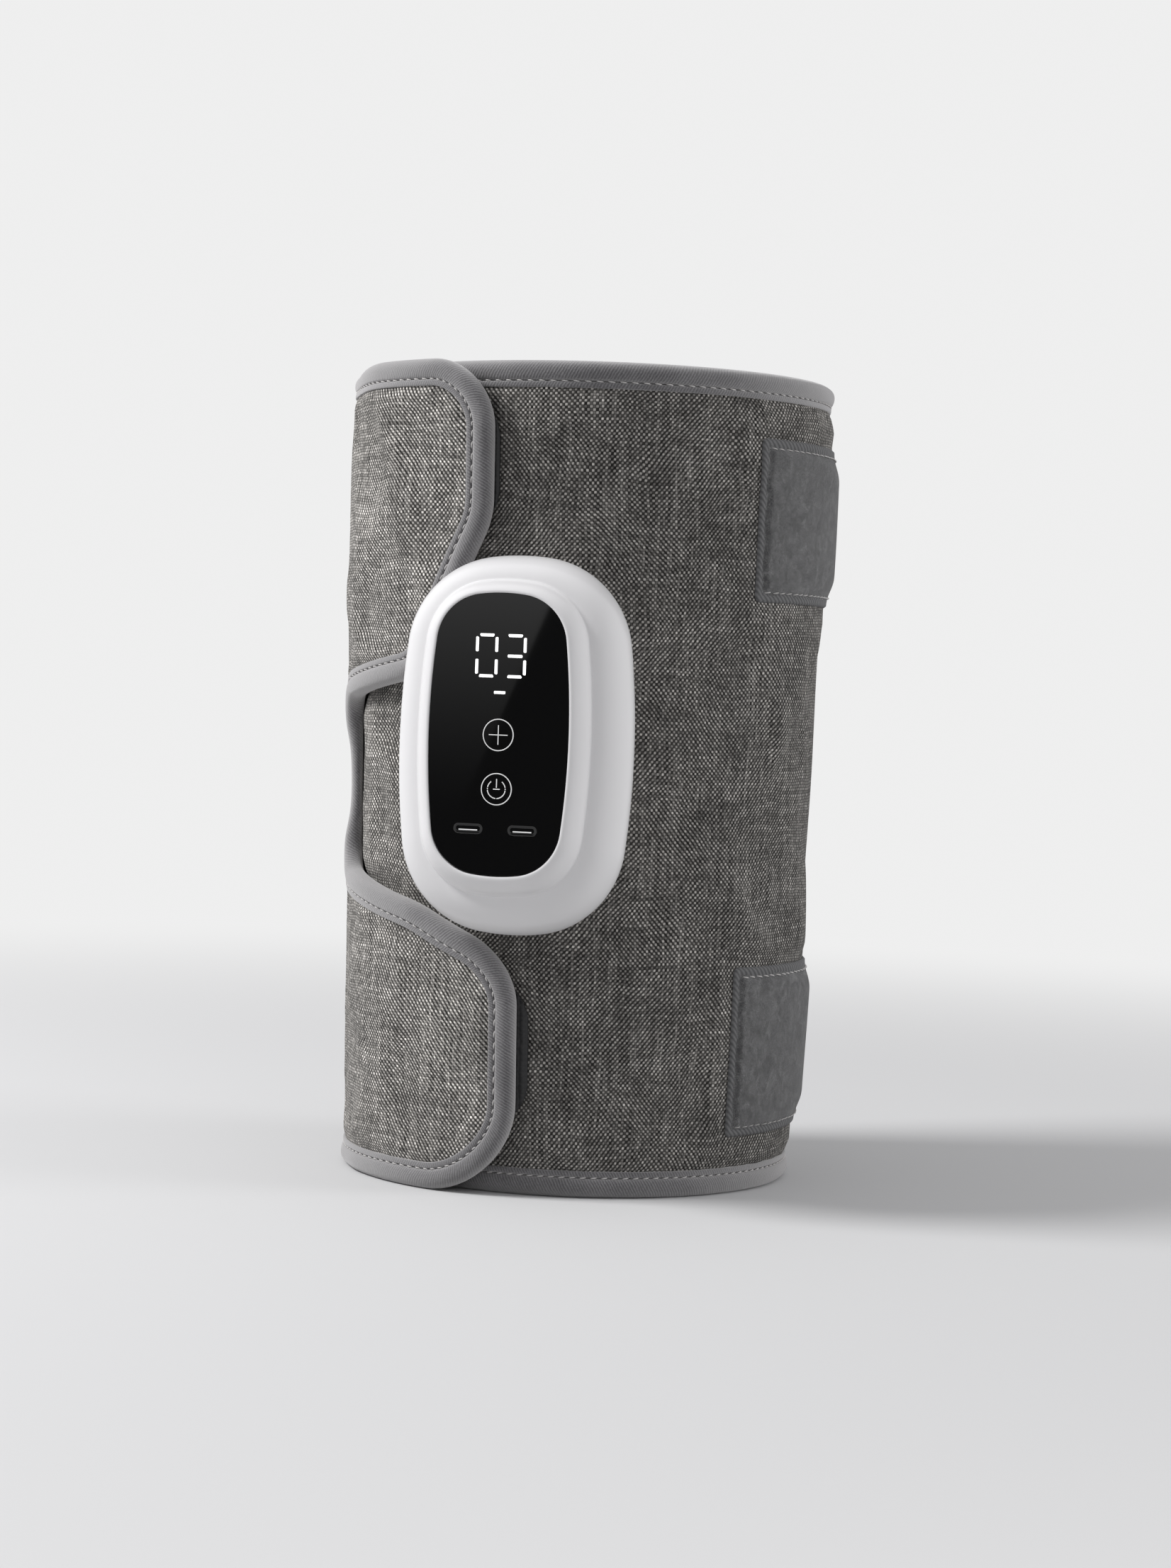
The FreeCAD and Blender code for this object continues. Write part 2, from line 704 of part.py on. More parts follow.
def inner_profile(profile, wall):
    """The same profile a wall further in, moved along the mean normal at each point."""
    moved = []
    for i, (inset, height) in enumerate(profile):
        before = profile[max(i - 1, 0)]
        after = profile[min(i + 1, len(profile) - 1)]
        way = Vector(after[0] - before[0], after[1] - before[1], 0).normalize()
        moved.append((inset + way.y * wall, height - way.x * wall))
    return moved


def saddle(gap):
    """Solid under the housing: the wrap's outer face with a gap over it."""
    return Part.makeCone(s.bottom_radius + gap, s.top_radius + gap, s.wrap_height)


parting = (0, s.parting_height)
step = (s.step_inset, s.step_height)
lip = (s.lip_inset, s.lip_height)
foot = (s.foot_inset, 0)
foot_end = (s.foot_inset, -s.foot_depth)
front_profile = tier_profile(LOWER_TIER_PROFILE_SHARES, parting, step)
front_profile += tier_profile(UPPER_TIER_PROFILE_SHARES, step, lip)
rear_profile = [foot_end] + tier_profile(FOOT_PROFILE_SHARES, parting, foot)[::-1]

socket_half_width = s.socket_width / 2 + s.socket_fit
socket_top = s.socket_depth + s.socket_height
socket_mouth = -s.housing_length / 2 + s.socket_recess
socket_cut_length = s.socket_recess + s.socket_length + s.cut_overrun
socket_cut_corner = controller_point(-socket_half_width, socket_top + s.socket_fit,
                                     -s.housing_length / 2 - s.cut_overrun)
socket_cut = Part.makeBox(2 * socket_half_width, s.socket_height + 2 * s.socket_fit, socket_cut_length,
                          socket_cut_corner)

# Rear shell: bosses for the plate screws, sleeves for the case screws and a hole for the air nozzle
case_sleeve_top = s.case_post_bottom - s.layer_gap
case_head_hole_radius = s.screw_head_radius + s.screw_fit
case_sleeve_radius = case_head_hole_radius + s.shell_wall / 2
rear_cavity = inner_profile(rear_profile, s.shell_wall)
rear_cavity.append((rear_cavity[-1][0], s.parting_height + s.cut_overrun))
rear_hollow = oval_loft(rear_cavity).cut(saddle(s.saddle_gap + s.shell_wall))
for x, z in plate_places:
    rear_hollow = rear_hollow.cut(pin(x, z, -s.foot_depth, s.plate_boss_top, s.plate_boss_radius))
for x, z in case_places:
    rear_hollow = rear_hollow.cut(pin(x, z, -s.foot_depth, case_sleeve_top, case_sleeve_radius))
rear_shell = oval_loft(rear_profile).cut(saddle(s.saddle_gap)).cut(rear_hollow).cut(socket_cut)
nozzle_hole = pin(s.manifold_x, nozzle_z, -s.foot_depth, manifold_bottom_height, nozzle_hole_radius)
rear_shell = rear_shell.cut(nozzle_hole)
for x, z in plate_places:
    rear_shell = rear_shell.cut(pin(x, z, -s.foot_depth, s.plate_boss_top - s.cut_overrun, screw_hole_radius))
for x, z in case_places:
    rear_shell = rear_shell.cut(pin(x, z, -s.foot_depth, s.parting_height, screw_hole_radius))
    rear_shell = rear_shell.cut(pin(x, z, -s.foot_depth, s.case_seat_height, case_head_hole_radius))
add_shape("rear_shell", rear_shell)

# Keys: their places, and the solid of the two with round ends

key_places = {
    "plus_key": (0, s.panel_rise + s.plus_key_rise),
    "power_key": (0, s.panel_rise + s.power_key_rise),
    "heat_key": (-s.pill_key_spread, s.panel_rise + s.pill_key_rise),
    "mode_key": (s.pill_key_spread, s.panel_rise + s.pill_key_rise),
}
round_keys = ("plus_key", "power_key")


def pill(x, z, bottom, top, margin):
    """Upright solid with round ends, grown by a margin."""
    radius = s.pill_key_height / 2 + margin
    half = (s.pill_key_length - s.pill_key_height) / 2
    corner = controller_point(x - half, top, z - radius)
    solid = Part.makeBox(2 * half, top - bottom, 2 * radius, corner)
    for side in (-1, 1):
        solid = solid.fuse(pin(x + side * half, z, bottom, top, radius))
    return solid.removeSplitter()


# Front shell: posts for the case screws, bosses for the board and a ledge round the panel's opening
case_hole_top = s.case_post_bottom + s.screw_bite + s.cut_overrun
seat_inset = s.lip_inset + s.lip_width
opening_inset = seat_inset + s.ledge_width
front_cavity = [point for point in inner_profile(front_profile, s.shell_wall) if point[1] < ledge_bottom]
front_cavity.insert(0, (front_cavity[0][0], s.parting_height - s.cut_overrun))
front_cavity.append((front_cavity[-1][0] + s.lip_width, ledge_bottom))
front_hollow = oval_loft(front_cavity)
for x, z in case_places:
    front_hollow = front_hollow.cut(pin(x, z, s.case_post_bottom, s.lip_height, s.case_post_radius))
for x, z in board_places:
    front_hollow = front_hollow.cut(pin(x, z, board_front, s.lip_height, s.board_boss_radius))
front_shell = oval_loft(front_profile).cut(front_hollow).cut(socket_cut)
front_shell = front_shell.cut(oval_prism(seat_inset, panel_back, s.lip_height + s.cut_overrun))
front_shell = front_shell.cut(oval_prism(opening_inset, s.step_height - s.shell_wall, s.lip_height))
for x, z in case_places:
    front_shell = front_shell.fuse(pin(x, z, s.case_post_bottom, s.parting_height + s.cut_overrun,
                                       s.case_post_radius))
for x, z in case_places:
    front_shell = front_shell.cut(pin(x, z, s.case_post_bottom - s.cut_overrun, case_hole_top,
                                      screw_hole_radius))
for x, z in board_places:
    front_shell = front_shell.cut(pin(x, z, board_back, ledge_bottom, screw_hole_radius))
for key, (x, z) in key_places.items():
    if key not in round_keys:
        flange_room = pill(x, z, ledge_bottom - s.cut_overrun, panel_back, s.key_flange_margin + s.key_fit)
        front_shell = front_shell.cut(flange_room)
add_shape("front_shell", front_shell.removeSplitter())

# Black panel with a hole for each key
panel_front = panel_back + s.panel_thickness


control_panel = oval_prism(seat_inset + s.panel_fit, panel_back, panel_front)
for key, (x, z) in key_places.items():
    low = panel_back - s.cut_overrun
    high = panel_front + s.cut_overrun
    if key in round_keys:
        control_panel = control_panel.cut(pin(x, z, low, high, s.round_key_radius + s.key_fit))
    else:
        control_panel = control_panel.cut(pill(x, z, low, high, s.key_fit))
add_shape("control_panel", control_panel)


# Sub-parts made of plain solids, with their sizes bound to the sheet

def round_bar(radius, height, base, way):
    """Cylinder bound to the sheet, from a base along a way."""
    bar = document.addObject("Part::Cylinder", "round_bar")
    bar.setExpression("Radius", radius)
    bar.setExpression("Height", height)
    bar.Placement = Placement(base, Rotation(UP, way))
    return bar


def block(length, depth, height, corner):
    """Box bound to the sheet: length across, depth along Y and height upwards from a corner."""
    solid = document.addObject("Part::Box", "block")
    solid.setExpression("Length", length)
    solid.setExpression("Width", depth)
    solid.setExpression("Height", height)
    solid.Placement = Placement(corner, Rotation())
    return solid


def joined(label, members):
    """One sub-part of several solids that run into each other."""
    fusion = document.addObject("Part::MultiFuse", label)
    fusion.Shapes = members
    fusion.Label = label
    subparts.append(fusion)
    return fusion


def hollowed(label, base, tool):
    """One sub-part with another solid cut out of it."""
    cut = document.addObject("Part::Cut", label)
    cut.Base = base
    cut.Tool = tool
    cut.Label = label
    subparts.append(cut)
    return cut


flange_bottom = panel_back - s.key_fit - s.key_flange_thickness
stem_bottom = flange_bottom - s.key_stem_length
switch_top = stem_bottom - s.key_travel - s.key_fit
CAP_LENGTH = "sizes.panel_thickness + sizes.key_fit + sizes.key_flange_thickness"
STEM_LENGTH = "sizes.key_stem_length + sizes.key_flange_thickness"
PILL_STRAIGHT = "sizes.pill_key_length - sizes.pill_key_height"


def round_key(label, x, z):
    """Round cap, a wider flange behind the panel and a stem."""
    base = controller_point(x, flange_bottom, z)
    cap = round_bar("sizes.round_key_radius", CAP_LENGTH, base, OUT)
    flange = round_bar("sizes.round_key_radius + sizes.key_flange_margin", "sizes.key_flange_thickness",
                       base, OUT)
    stem = round_bar("sizes.key_stem_radius", STEM_LENGTH, controller_point(x, stem_bottom, z), OUT)
    joined(label, [cap, flange, stem])


def pill_key(label, x, z):
    """Cap with round ends, a wider flange behind the panel and a stem."""
    half = (s.pill_key_length - s.pill_key_height) / 2
    radius = s.pill_key_height / 2
    flange_radius = radius + s.key_flange_margin
    cap_corner = controller_point(x - half, panel_front, z - radius)
    flange_corner = controller_point(x - half, flange_bottom + s.key_flange_thickness, z - flange_radius)
    members = [block(PILL_STRAIGHT, CAP_LENGTH, "sizes.pill_key_height", cap_corner)]
    members.append(block(PILL_STRAIGHT, "sizes.key_flange_thickness",
                         "sizes.pill_key_height + 2 * sizes.key_flange_margin", flange_corner))
    for side in (-1, 1):
        base = controller_point(x + side * half, flange_bottom, z)
        members.append(round_bar("sizes.pill_key_height / 2", CAP_LENGTH, base, OUT))
        members.append(round_bar("sizes.pill_key_height / 2 + sizes.key_flange_margin",
                                 "sizes.key_flange_thickness", base, OUT))
    members.append(round_bar("sizes.key_stem_radius", STEM_LENGTH, controller_point(x, stem_bottom, z), OUT))
    joined(label, members)


for key, (x, z) in key_places.items():
    if key in round_keys:
        round_key(key, x, z)
    else:
        pill_key(key, x, z)


# Sub-parts made from a sketch: a flat outline across the controller, raised outwards

def origin_plane(body, role):
    """One of a body's own origin planes."""
    return next(plane for plane in body.Origin.OriginFeatures if plane.Role == role)


def raised_rectangle(label, width, length, thickness, base):
    """Body padded outwards from a rectangle about its base point."""
    body = document.addObject("PartDesign::Body", label)
    body.Label = label
    body.Placement = Placement(base, Rotation())
    sketch = body.newObject("Sketcher::SketchObject", f"{label}_outline")
    sketch.AttachmentSupport = (origin_plane(body, "XZ_Plane"), [""])
    sketch.MapMode = "FlatFace"
    corners = [Vector(-1, -1, 0), Vector(1, -1, 0), Vector(1, 1, 0), Vector(-1, 1, 0)]
    for i in range(4):
        sketch.addGeometry(Part.LineSegment(corners[i], corners[(i + 1) % 4]))
    for i in range(4):
        sketch.addConstraint(Sketcher.Constraint("Coincident", i, 2, (i + 1) % 4, 1))
        sketch.addConstraint(Sketcher.Constraint("Horizontal" if i % 2 == 0 else "Vertical", i))
    sketch.addConstraint(Sketcher.Constraint("Symmetric", 0, 1, 2, 1, -1, 1))
    across = sketch.addConstraint(Sketcher.Constraint("DistanceX", 0, 1, 0, 2, s.cut_overrun))
    upwards = sketch.addConstraint(Sketcher.Constraint("DistanceY", 1, 1, 1, 2, s.cut_overrun))
    sketch.setExpression(f"Constraints[{across}]", width)
    sketch.setExpression(f"Constraints[{upwards}]", length)
    pad = body.newObject("PartDesign::Pad", f"{label}_pad")
    pad.Profile = sketch
    pad.setExpression("Length", thickness)
    document.recompute()
    subparts.append(body)
    return body


def round_corners(body, radius):
    """Fillet on the edges of a body that run outwards, along Y."""
    solid = body.Tip
    edges = [f"Edge{number}" for number, edge in enumerate(solid.Shape.Edges, start=1)
             if edge.BoundBox.YLength > edge.Length * STRAIGHT_SHARE]
    fillet = body.newObject("PartDesign::Fillet", f"{body.Label}_round")
    fillet.Base = (solid, edges)
    fillet.setExpression("Radius", radius)
    document.recompute()


def drill(body, places, radius):
    """Round holes right through a body, at places counted from its base point."""
    sketch = body.newObject("Sketcher::SketchObject", f"{body.Label}_holes")
    sketch.AttachmentSupport = (origin_plane(body, "XZ_Plane"), [""])
    sketch.MapMode = "FlatFace"
    for x, z in places:
        circle = sketch.addGeometry(Part.Circle(Vector(x, z, 0), UP, s.screw_radius))
        size = sketch.addConstraint(Sketcher.Constraint("Radius", circle, s.screw_radius))
        sketch.setExpression(f"Constraints[{size}]", radius)
    pocket = body.newObject("PartDesign::Pocket", f"{body.Label}_drilling")
    pocket.Profile = sketch
    pocket.Type = "ThroughAll"
    pocket.Midplane = True
    document.recompute()


panel_middle = s.panel_rise
board = raised_rectangle("main_board", "sizes.board_width", "sizes.board_length", "sizes.board_thickness",
                         controller_point(0, board_back, panel_middle))
round_corners(board, "sizes.board_boss_radius")
drill(board, four_places(s.board_screw_x, s.board_screw_z), "sizes.screw_radius + sizes.screw_fit")

raised_rectangle("digit_display", "sizes.display_width", "sizes.display_length",
                 "sizes.board_drop - sizes.display_gap",
                 controller_point(0, board_front, panel_middle + s.display_rise))

battery = raised_rectangle("battery", "sizes.battery_width", "sizes.battery_length",
                           "sizes.battery_thickness",
                           controller_point(0, s.plate_boss_top + s.battery_gap, s.battery_rise))
round_corners(battery, "sizes.battery_round")

raised_rectangle("charge_board", "sizes.charge_board_width", "sizes.charge_board_length",
                 "sizes.charge_board_thickness",
                 controller_point(0, s.socket_depth - s.charge_board_thickness, s.charge_board_rise))

# Switches under the keys, and the lit bars of the display
tact_switches = [Part.makeBox(s.switch_size, switch_top - board_front, s.switch_size,
                              controller_point(x - s.switch_size / 2, switch_top, z - s.switch_size / 2))
                 for x, z in key_places.values()]
add_shape("tact_switches", Part.makeCompound(tact_switches))

LIT_BARS = {"0": "abcdef", "3": "abcdg"}
display_front = panel_back - s.display_gap


def lit_bar(x, z, length, height):
    """Thin lit bar on the display, about its middle."""
    corner = controller_point(x - length / 2, display_front + s.segment_thickness, z - height / 2)
    return Part.makeBox(length, s.segment_thickness, height, corner)


def lit_digit(digit, x, z):
    """Bars of one digit: three level ones and two pairs of upright ones that meet them at a small gap."""
    reach = (s.digit_width - s.segment_width) / 2
    rise = (s.digit_height - s.segment_width) / 2
    level = s.digit_width - 2 * s.segment_width - s.key_fit
    upright = rise - s.segment_width - s.key_fit
    places = {
        "a": (x, z + rise, level, s.segment_width), "g": (x, z, level, s.segment_width),
        "d": (x, z - rise, level, s.segment_width),
        "b": (x + reach, z + rise / 2, s.segment_width, upright),
        "c": (x + reach, z - rise / 2, s.segment_width, upright),
        "e": (x - reach, z - rise / 2, s.segment_width, upright),
        "f": (x - reach, z + rise / 2, s.segment_width, upright),
    }
    return [lit_bar(*places[bar]) for bar in LIT_BARS[digit]]


digit_z = panel_middle + s.digit_rise
lit_bars = lit_digit("0", -s.digit_spacing / 2, digit_z) + lit_digit("3", s.digit_spacing / 2, digit_z)
lit_bars.append(lit_bar(0, panel_middle + s.dash_rise, s.dash_length, s.dash_height))
add_shape("display_bars", Part.makeCompound(lit_bars))


# Screws, each a group of like solids

def screw(x, z, seat, length):
    """Flat headed screw whose head lies behind its seat and whose shank runs outwards."""
    head = pin(x, z, seat - s.screw_head_height, seat, s.screw_head_radius)
    return head.fuse(pin(x, z, seat - s.screw_head_height, seat + length, s.screw_radius)).removeSplitter()


add_shape("board_screws", Part.makeCompound(
    [screw(x, z, board_back, ledge_bottom - board_back - s.screw_fit) for x, z in board_places]))
case_screw_length = s.case_post_bottom + s.screw_bite - s.case_seat_height
add_shape("case_screws", Part.makeCompound(
    [screw(x, z, s.case_seat_height, case_screw_length) for x, z in case_places]))


def plate_head_base(x, z):
    """Height at which a countersunk head lies below the plate's inner face all round."""
    radius = main_radius(controller_z + z) - padding_inner
    near = abs(x) - s.screw_head_radius
    return math.sqrt(radius * radius - near * near) - mount_radius


def countersink(x, z, margin):
    """Cone under a countersunk head, grown by a margin."""
    base = plate_head_base(x, z)
    return Part.makeCone(s.screw_head_radius + margin, s.screw_radius + margin, s.screw_head_height,
                         controller_point(x, base, z), OUT)


plate_screws = []
plate_cuts = [through_fabric]
for x, z in plate_places:
    base = plate_head_base(x, z)
    shank = pin(x, z, base, s.plate_boss_top - s.cut_overrun - s.screw_fit, s.screw_radius)
    plate_screws.append(countersink(x, z, 0).fuse(shank).removeSplitter())
    plate_cuts.append(countersink(x, z, s.screw_fit))
    plate_cuts.append(pin(x, z, base - s.foot_depth, base, s.screw_head_radius + s.screw_fit))
add_shape("plate_screws", Part.makeCompound(plate_screws))

plate_stations = [(z, padding_outer, padding_inner) for z in (plate_low, plate_high)]
backing_plate = panel(-s.plate_half_angle, s.plate_half_angle, plate_stations)
for cut in plate_cuts:
    backing_plate = backing_plate.cut(cut)
add_shape("backing_plate", backing_plate)

# Diaphragm pump, from the motor upwards
motor_top = s.motor_bottom + s.motor_length
head_top = motor_top + s.head_length
cap_bottom = head_top + s.diaphragm_thickness
cap_top = cap_bottom + s.cap_height
shaft_bottom = motor_top + s.crank_rise + s.crank_height - s.shaft_length


def pump_point(x, z):
    """Point on the plane of the pump's axis."""
    return controller_point(x, s.pump_depth, z)


motor_can = round_bar("sizes.motor_radius", "sizes.motor_length", pump_point(0, s.motor_bottom), UP)
motor_bore = round_bar("sizes.shaft_radius + sizes.shaft_fit", "sizes.motor_bore_depth + sizes.cut_overrun",
                       pump_point(0, motor_top - s.motor_bore_depth), UP)
hollowed("pump_motor", motor_can, motor_bore)

shaft = round_bar("sizes.shaft_radius", "sizes.shaft_length", pump_point(0, shaft_bottom), UP)
crank = round_bar("sizes.crank_radius", "sizes.crank_height",
                  pump_point(s.crank_offset, motor_top + s.crank_rise), UP)
joined("pump_crank", [shaft, crank])

head_can = round_bar("sizes.head_radius", "sizes.head_length", pump_point(0, motor_top), UP)
head_bore = round_bar("sizes.head_radius - sizes.head_wall", "sizes.head_length + 2 * sizes.cut_overrun",
                      pump_point(0, motor_top - s.cut_overrun), UP)
hollowed("pump_head", head_can, head_bore)

diaphragm = round_bar("sizes.head_radius", "sizes.diaphragm_thickness", pump_point(0, head_top), UP)
diaphragm.Label = "pump_diaphragm"
subparts.append(diaphragm)

cap = round_bar("sizes.head_radius", "sizes.cap_height", pump_point(0, cap_bottom), UP)
cap_nipple = round_bar("sizes.nipple_radius", "sizes.cap_height + sizes.nipple_length",
                       pump_point(s.nipple_x, cap_bottom), UP)
joined("pump_cap", [cap, cap_nipple])

# Manifold over the air nozzle, joined to the pump by a bent hose
manifold_top = s.manifold_bottom + s.manifold_length
manifold_corner = controller_point(s.manifold_x - s.manifold_width / 2,
                                   s.pump_depth + s.manifold_depth / 2, s.manifold_bottom)
manifold_block = block("sizes.manifold_width", "sizes.manifold_depth", "sizes.manifold_length",
                       manifold_corner)
manifold_nipple = round_bar("sizes.nipple_radius", "sizes.manifold_length / 2 + sizes.nipple_length",
                            pump_point(s.manifold_x, manifold_top - s.manifold_length / 2), UP)
manifold_body = document.addObject("Part::MultiFuse", "manifold_body")
manifold_body.Shapes = [manifold_block, manifold_nipple]
nozzle_socket_base = controller_point(s.manifold_x, manifold_bottom_height - s.cut_overrun, nozzle_z)
nozzle_socket = round_bar("sizes.nozzle_radius + sizes.hose_fit", "sizes.nozzle_entry + sizes.cut_overrun",
                          nozzle_socket_base, OUT)
hollowed("air_manifold", manifold_body, nozzle_socket)

nozzle_top = manifold_bottom_height + s.nozzle_entry - s.hose_fit
nozzle = pin(s.manifold_x, nozzle_z, -s.foot_depth, nozzle_top, s.nozzle_radius)
nozzle = nozzle.cut(pin(s.manifold_x, nozzle_z, -s.foot_depth, nozzle_top, s.nozzle_bore))
add_shape("air_nozzle", nozzle.cut(saddle(s.layer_gap / 2 - airbag_outer)))

hose_low = s.hose_crossing_rise - s.hose_bend_radius
bend_share = 1 - math.sqrt(0.5)
bend_middle = s.hose_bend_radius * bend_share
hose_start = pump_point(s.nipple_x, cap_top + s.layer_gap)
hose_points = [
    pump_point(s.nipple_x, hose_low),
    pump_point(s.nipple_x + bend_middle, s.hose_crossing_rise - bend_middle),
    pump_point(s.nipple_x + s.hose_bend_radius, s.hose_crossing_rise),
    pump_point(s.manifold_x - s.hose_bend_radius, s.hose_crossing_rise),
    pump_point(s.manifold_x - bend_middle, s.hose_crossing_rise - bend_middle),
    pump_point(s.manifold_x, hose_low),
]
hose_end = pump_point(s.manifold_x, manifold_top + s.layer_gap)
hose_path = Part.Wire([
    Part.makeLine(hose_start, hose_points[0]), Part.Arc(*hose_points[0:3]).toShape(),
    Part.makeLine(hose_points[2], hose_points[3]), Part.Arc(*hose_points[3:6]).toShape(),
    Part.makeLine(hose_points[5], hose_end),
])


def hose_solid(radius):
    """Round solid along the hose's path."""
    ring = Part.Wire(Part.makeCircle(radius, hose_start, UP))
    return hose_path.makePipeShell([ring], True, True)


add_shape("pump_hose", hose_solid(s.hose_outer_radius).cut(hose_solid(s.nipple_radius + s.hose_fit)))

# Solenoid valve below the manifold, with a plunger that slides along Z
valve_room = s.plunger_length + s.plunger_travel + 2 * s.plunger_gap
valve_bottom = s.manifold_bottom - s.layer_gap - valve_room - 2 * s.valve_wall
VALVE_ROOM = "(sizes.plunger_length + sizes.plunger_travel + 2 * sizes.plunger_gap)"
valve_can = round_bar("sizes.valve_radius", f"{VALVE_ROOM} + 2 * sizes.valve_wall",
                      pump_point(s.manifold_x, valve_bottom), UP)
valve_bore = round_bar("sizes.plunger_radius + sizes.plunger_gap", VALVE_ROOM,
                       pump_point(s.manifold_x, valve_bottom + s.valve_wall), UP)
hollowed("valve_coil", valve_can, valve_bore)
plunger = round_bar("sizes.plunger_radius", "sizes.plunger_length",
                    pump_point(s.manifold_x, valve_bottom + s.valve_wall + s.plunger_gap), UP)
plunger.Label = "valve_plunger"
subparts.append(plunger)

# Charging socket: a shell with an opening and a tongue
socket_corner = controller_point(-s.socket_width / 2, socket_top, socket_mouth)
socket = Part.makeBox(s.socket_width, s.socket_height, s.socket_length, socket_corner)
socket = socket.makeFillet(s.socket_round, [edge for edge in socket.Edges
                                            if edge.BoundBox.ZLength > edge.Length * STRAIGHT_SHARE])
opening_corner = controller_point(-s.socket_width / 2 + s.socket_wall, socket_top - s.socket_wall,
                                  socket_mouth - s.cut_overrun)
opening = Part.makeBox(s.socket_width - 2 * s.socket_wall, s.socket_height - 2 * s.socket_wall,
                       s.socket_length - s.socket_wall + s.cut_overrun, opening_corner)
opening = opening.makeFillet(s.socket_round - s.socket_wall,
                             [edge for edge in opening.Edges
                              if edge.BoundBox.ZLength > edge.Length * STRAIGHT_SHARE])
tongue_top = s.socket_depth + (s.socket_height + s.tongue_thickness) / 2
tongue_corner = controller_point(-s.tongue_width / 2, tongue_top, socket_mouth + s.socket_wall)
tongue_length = s.socket_length - s.socket_wall * 3 / 2
tongue = Part.makeBox(s.tongue_width, s.tongue_thickness, tongue_length, tongue_corner)
add_shape("usb_socket", socket.cut(opening).fuse(tongue).removeSplitter())

# Every object and every shape is checked before anything is written
document.recompute()
for item in document.Objects:
    if "Invalid" in item.State or "Error" in item.State:
        raise RuntimeError(f"{item.Label} failed: {item.State}")
for part in subparts:
    if part.Shape.isNull() or not part.Shape.isValid() or not part.Shape.Solids:
        raise RuntimeError(f"{part.Label} has no valid solid")

os.makedirs("parts", exist_ok=True)
for part in subparts:
    part.Shape.exportStep(f"parts/{part.Label}.step")
    print(part.Label, len(part.Shape.Solids), "solids", round(part.Shape.Volume / 1000, 2), "cm3")
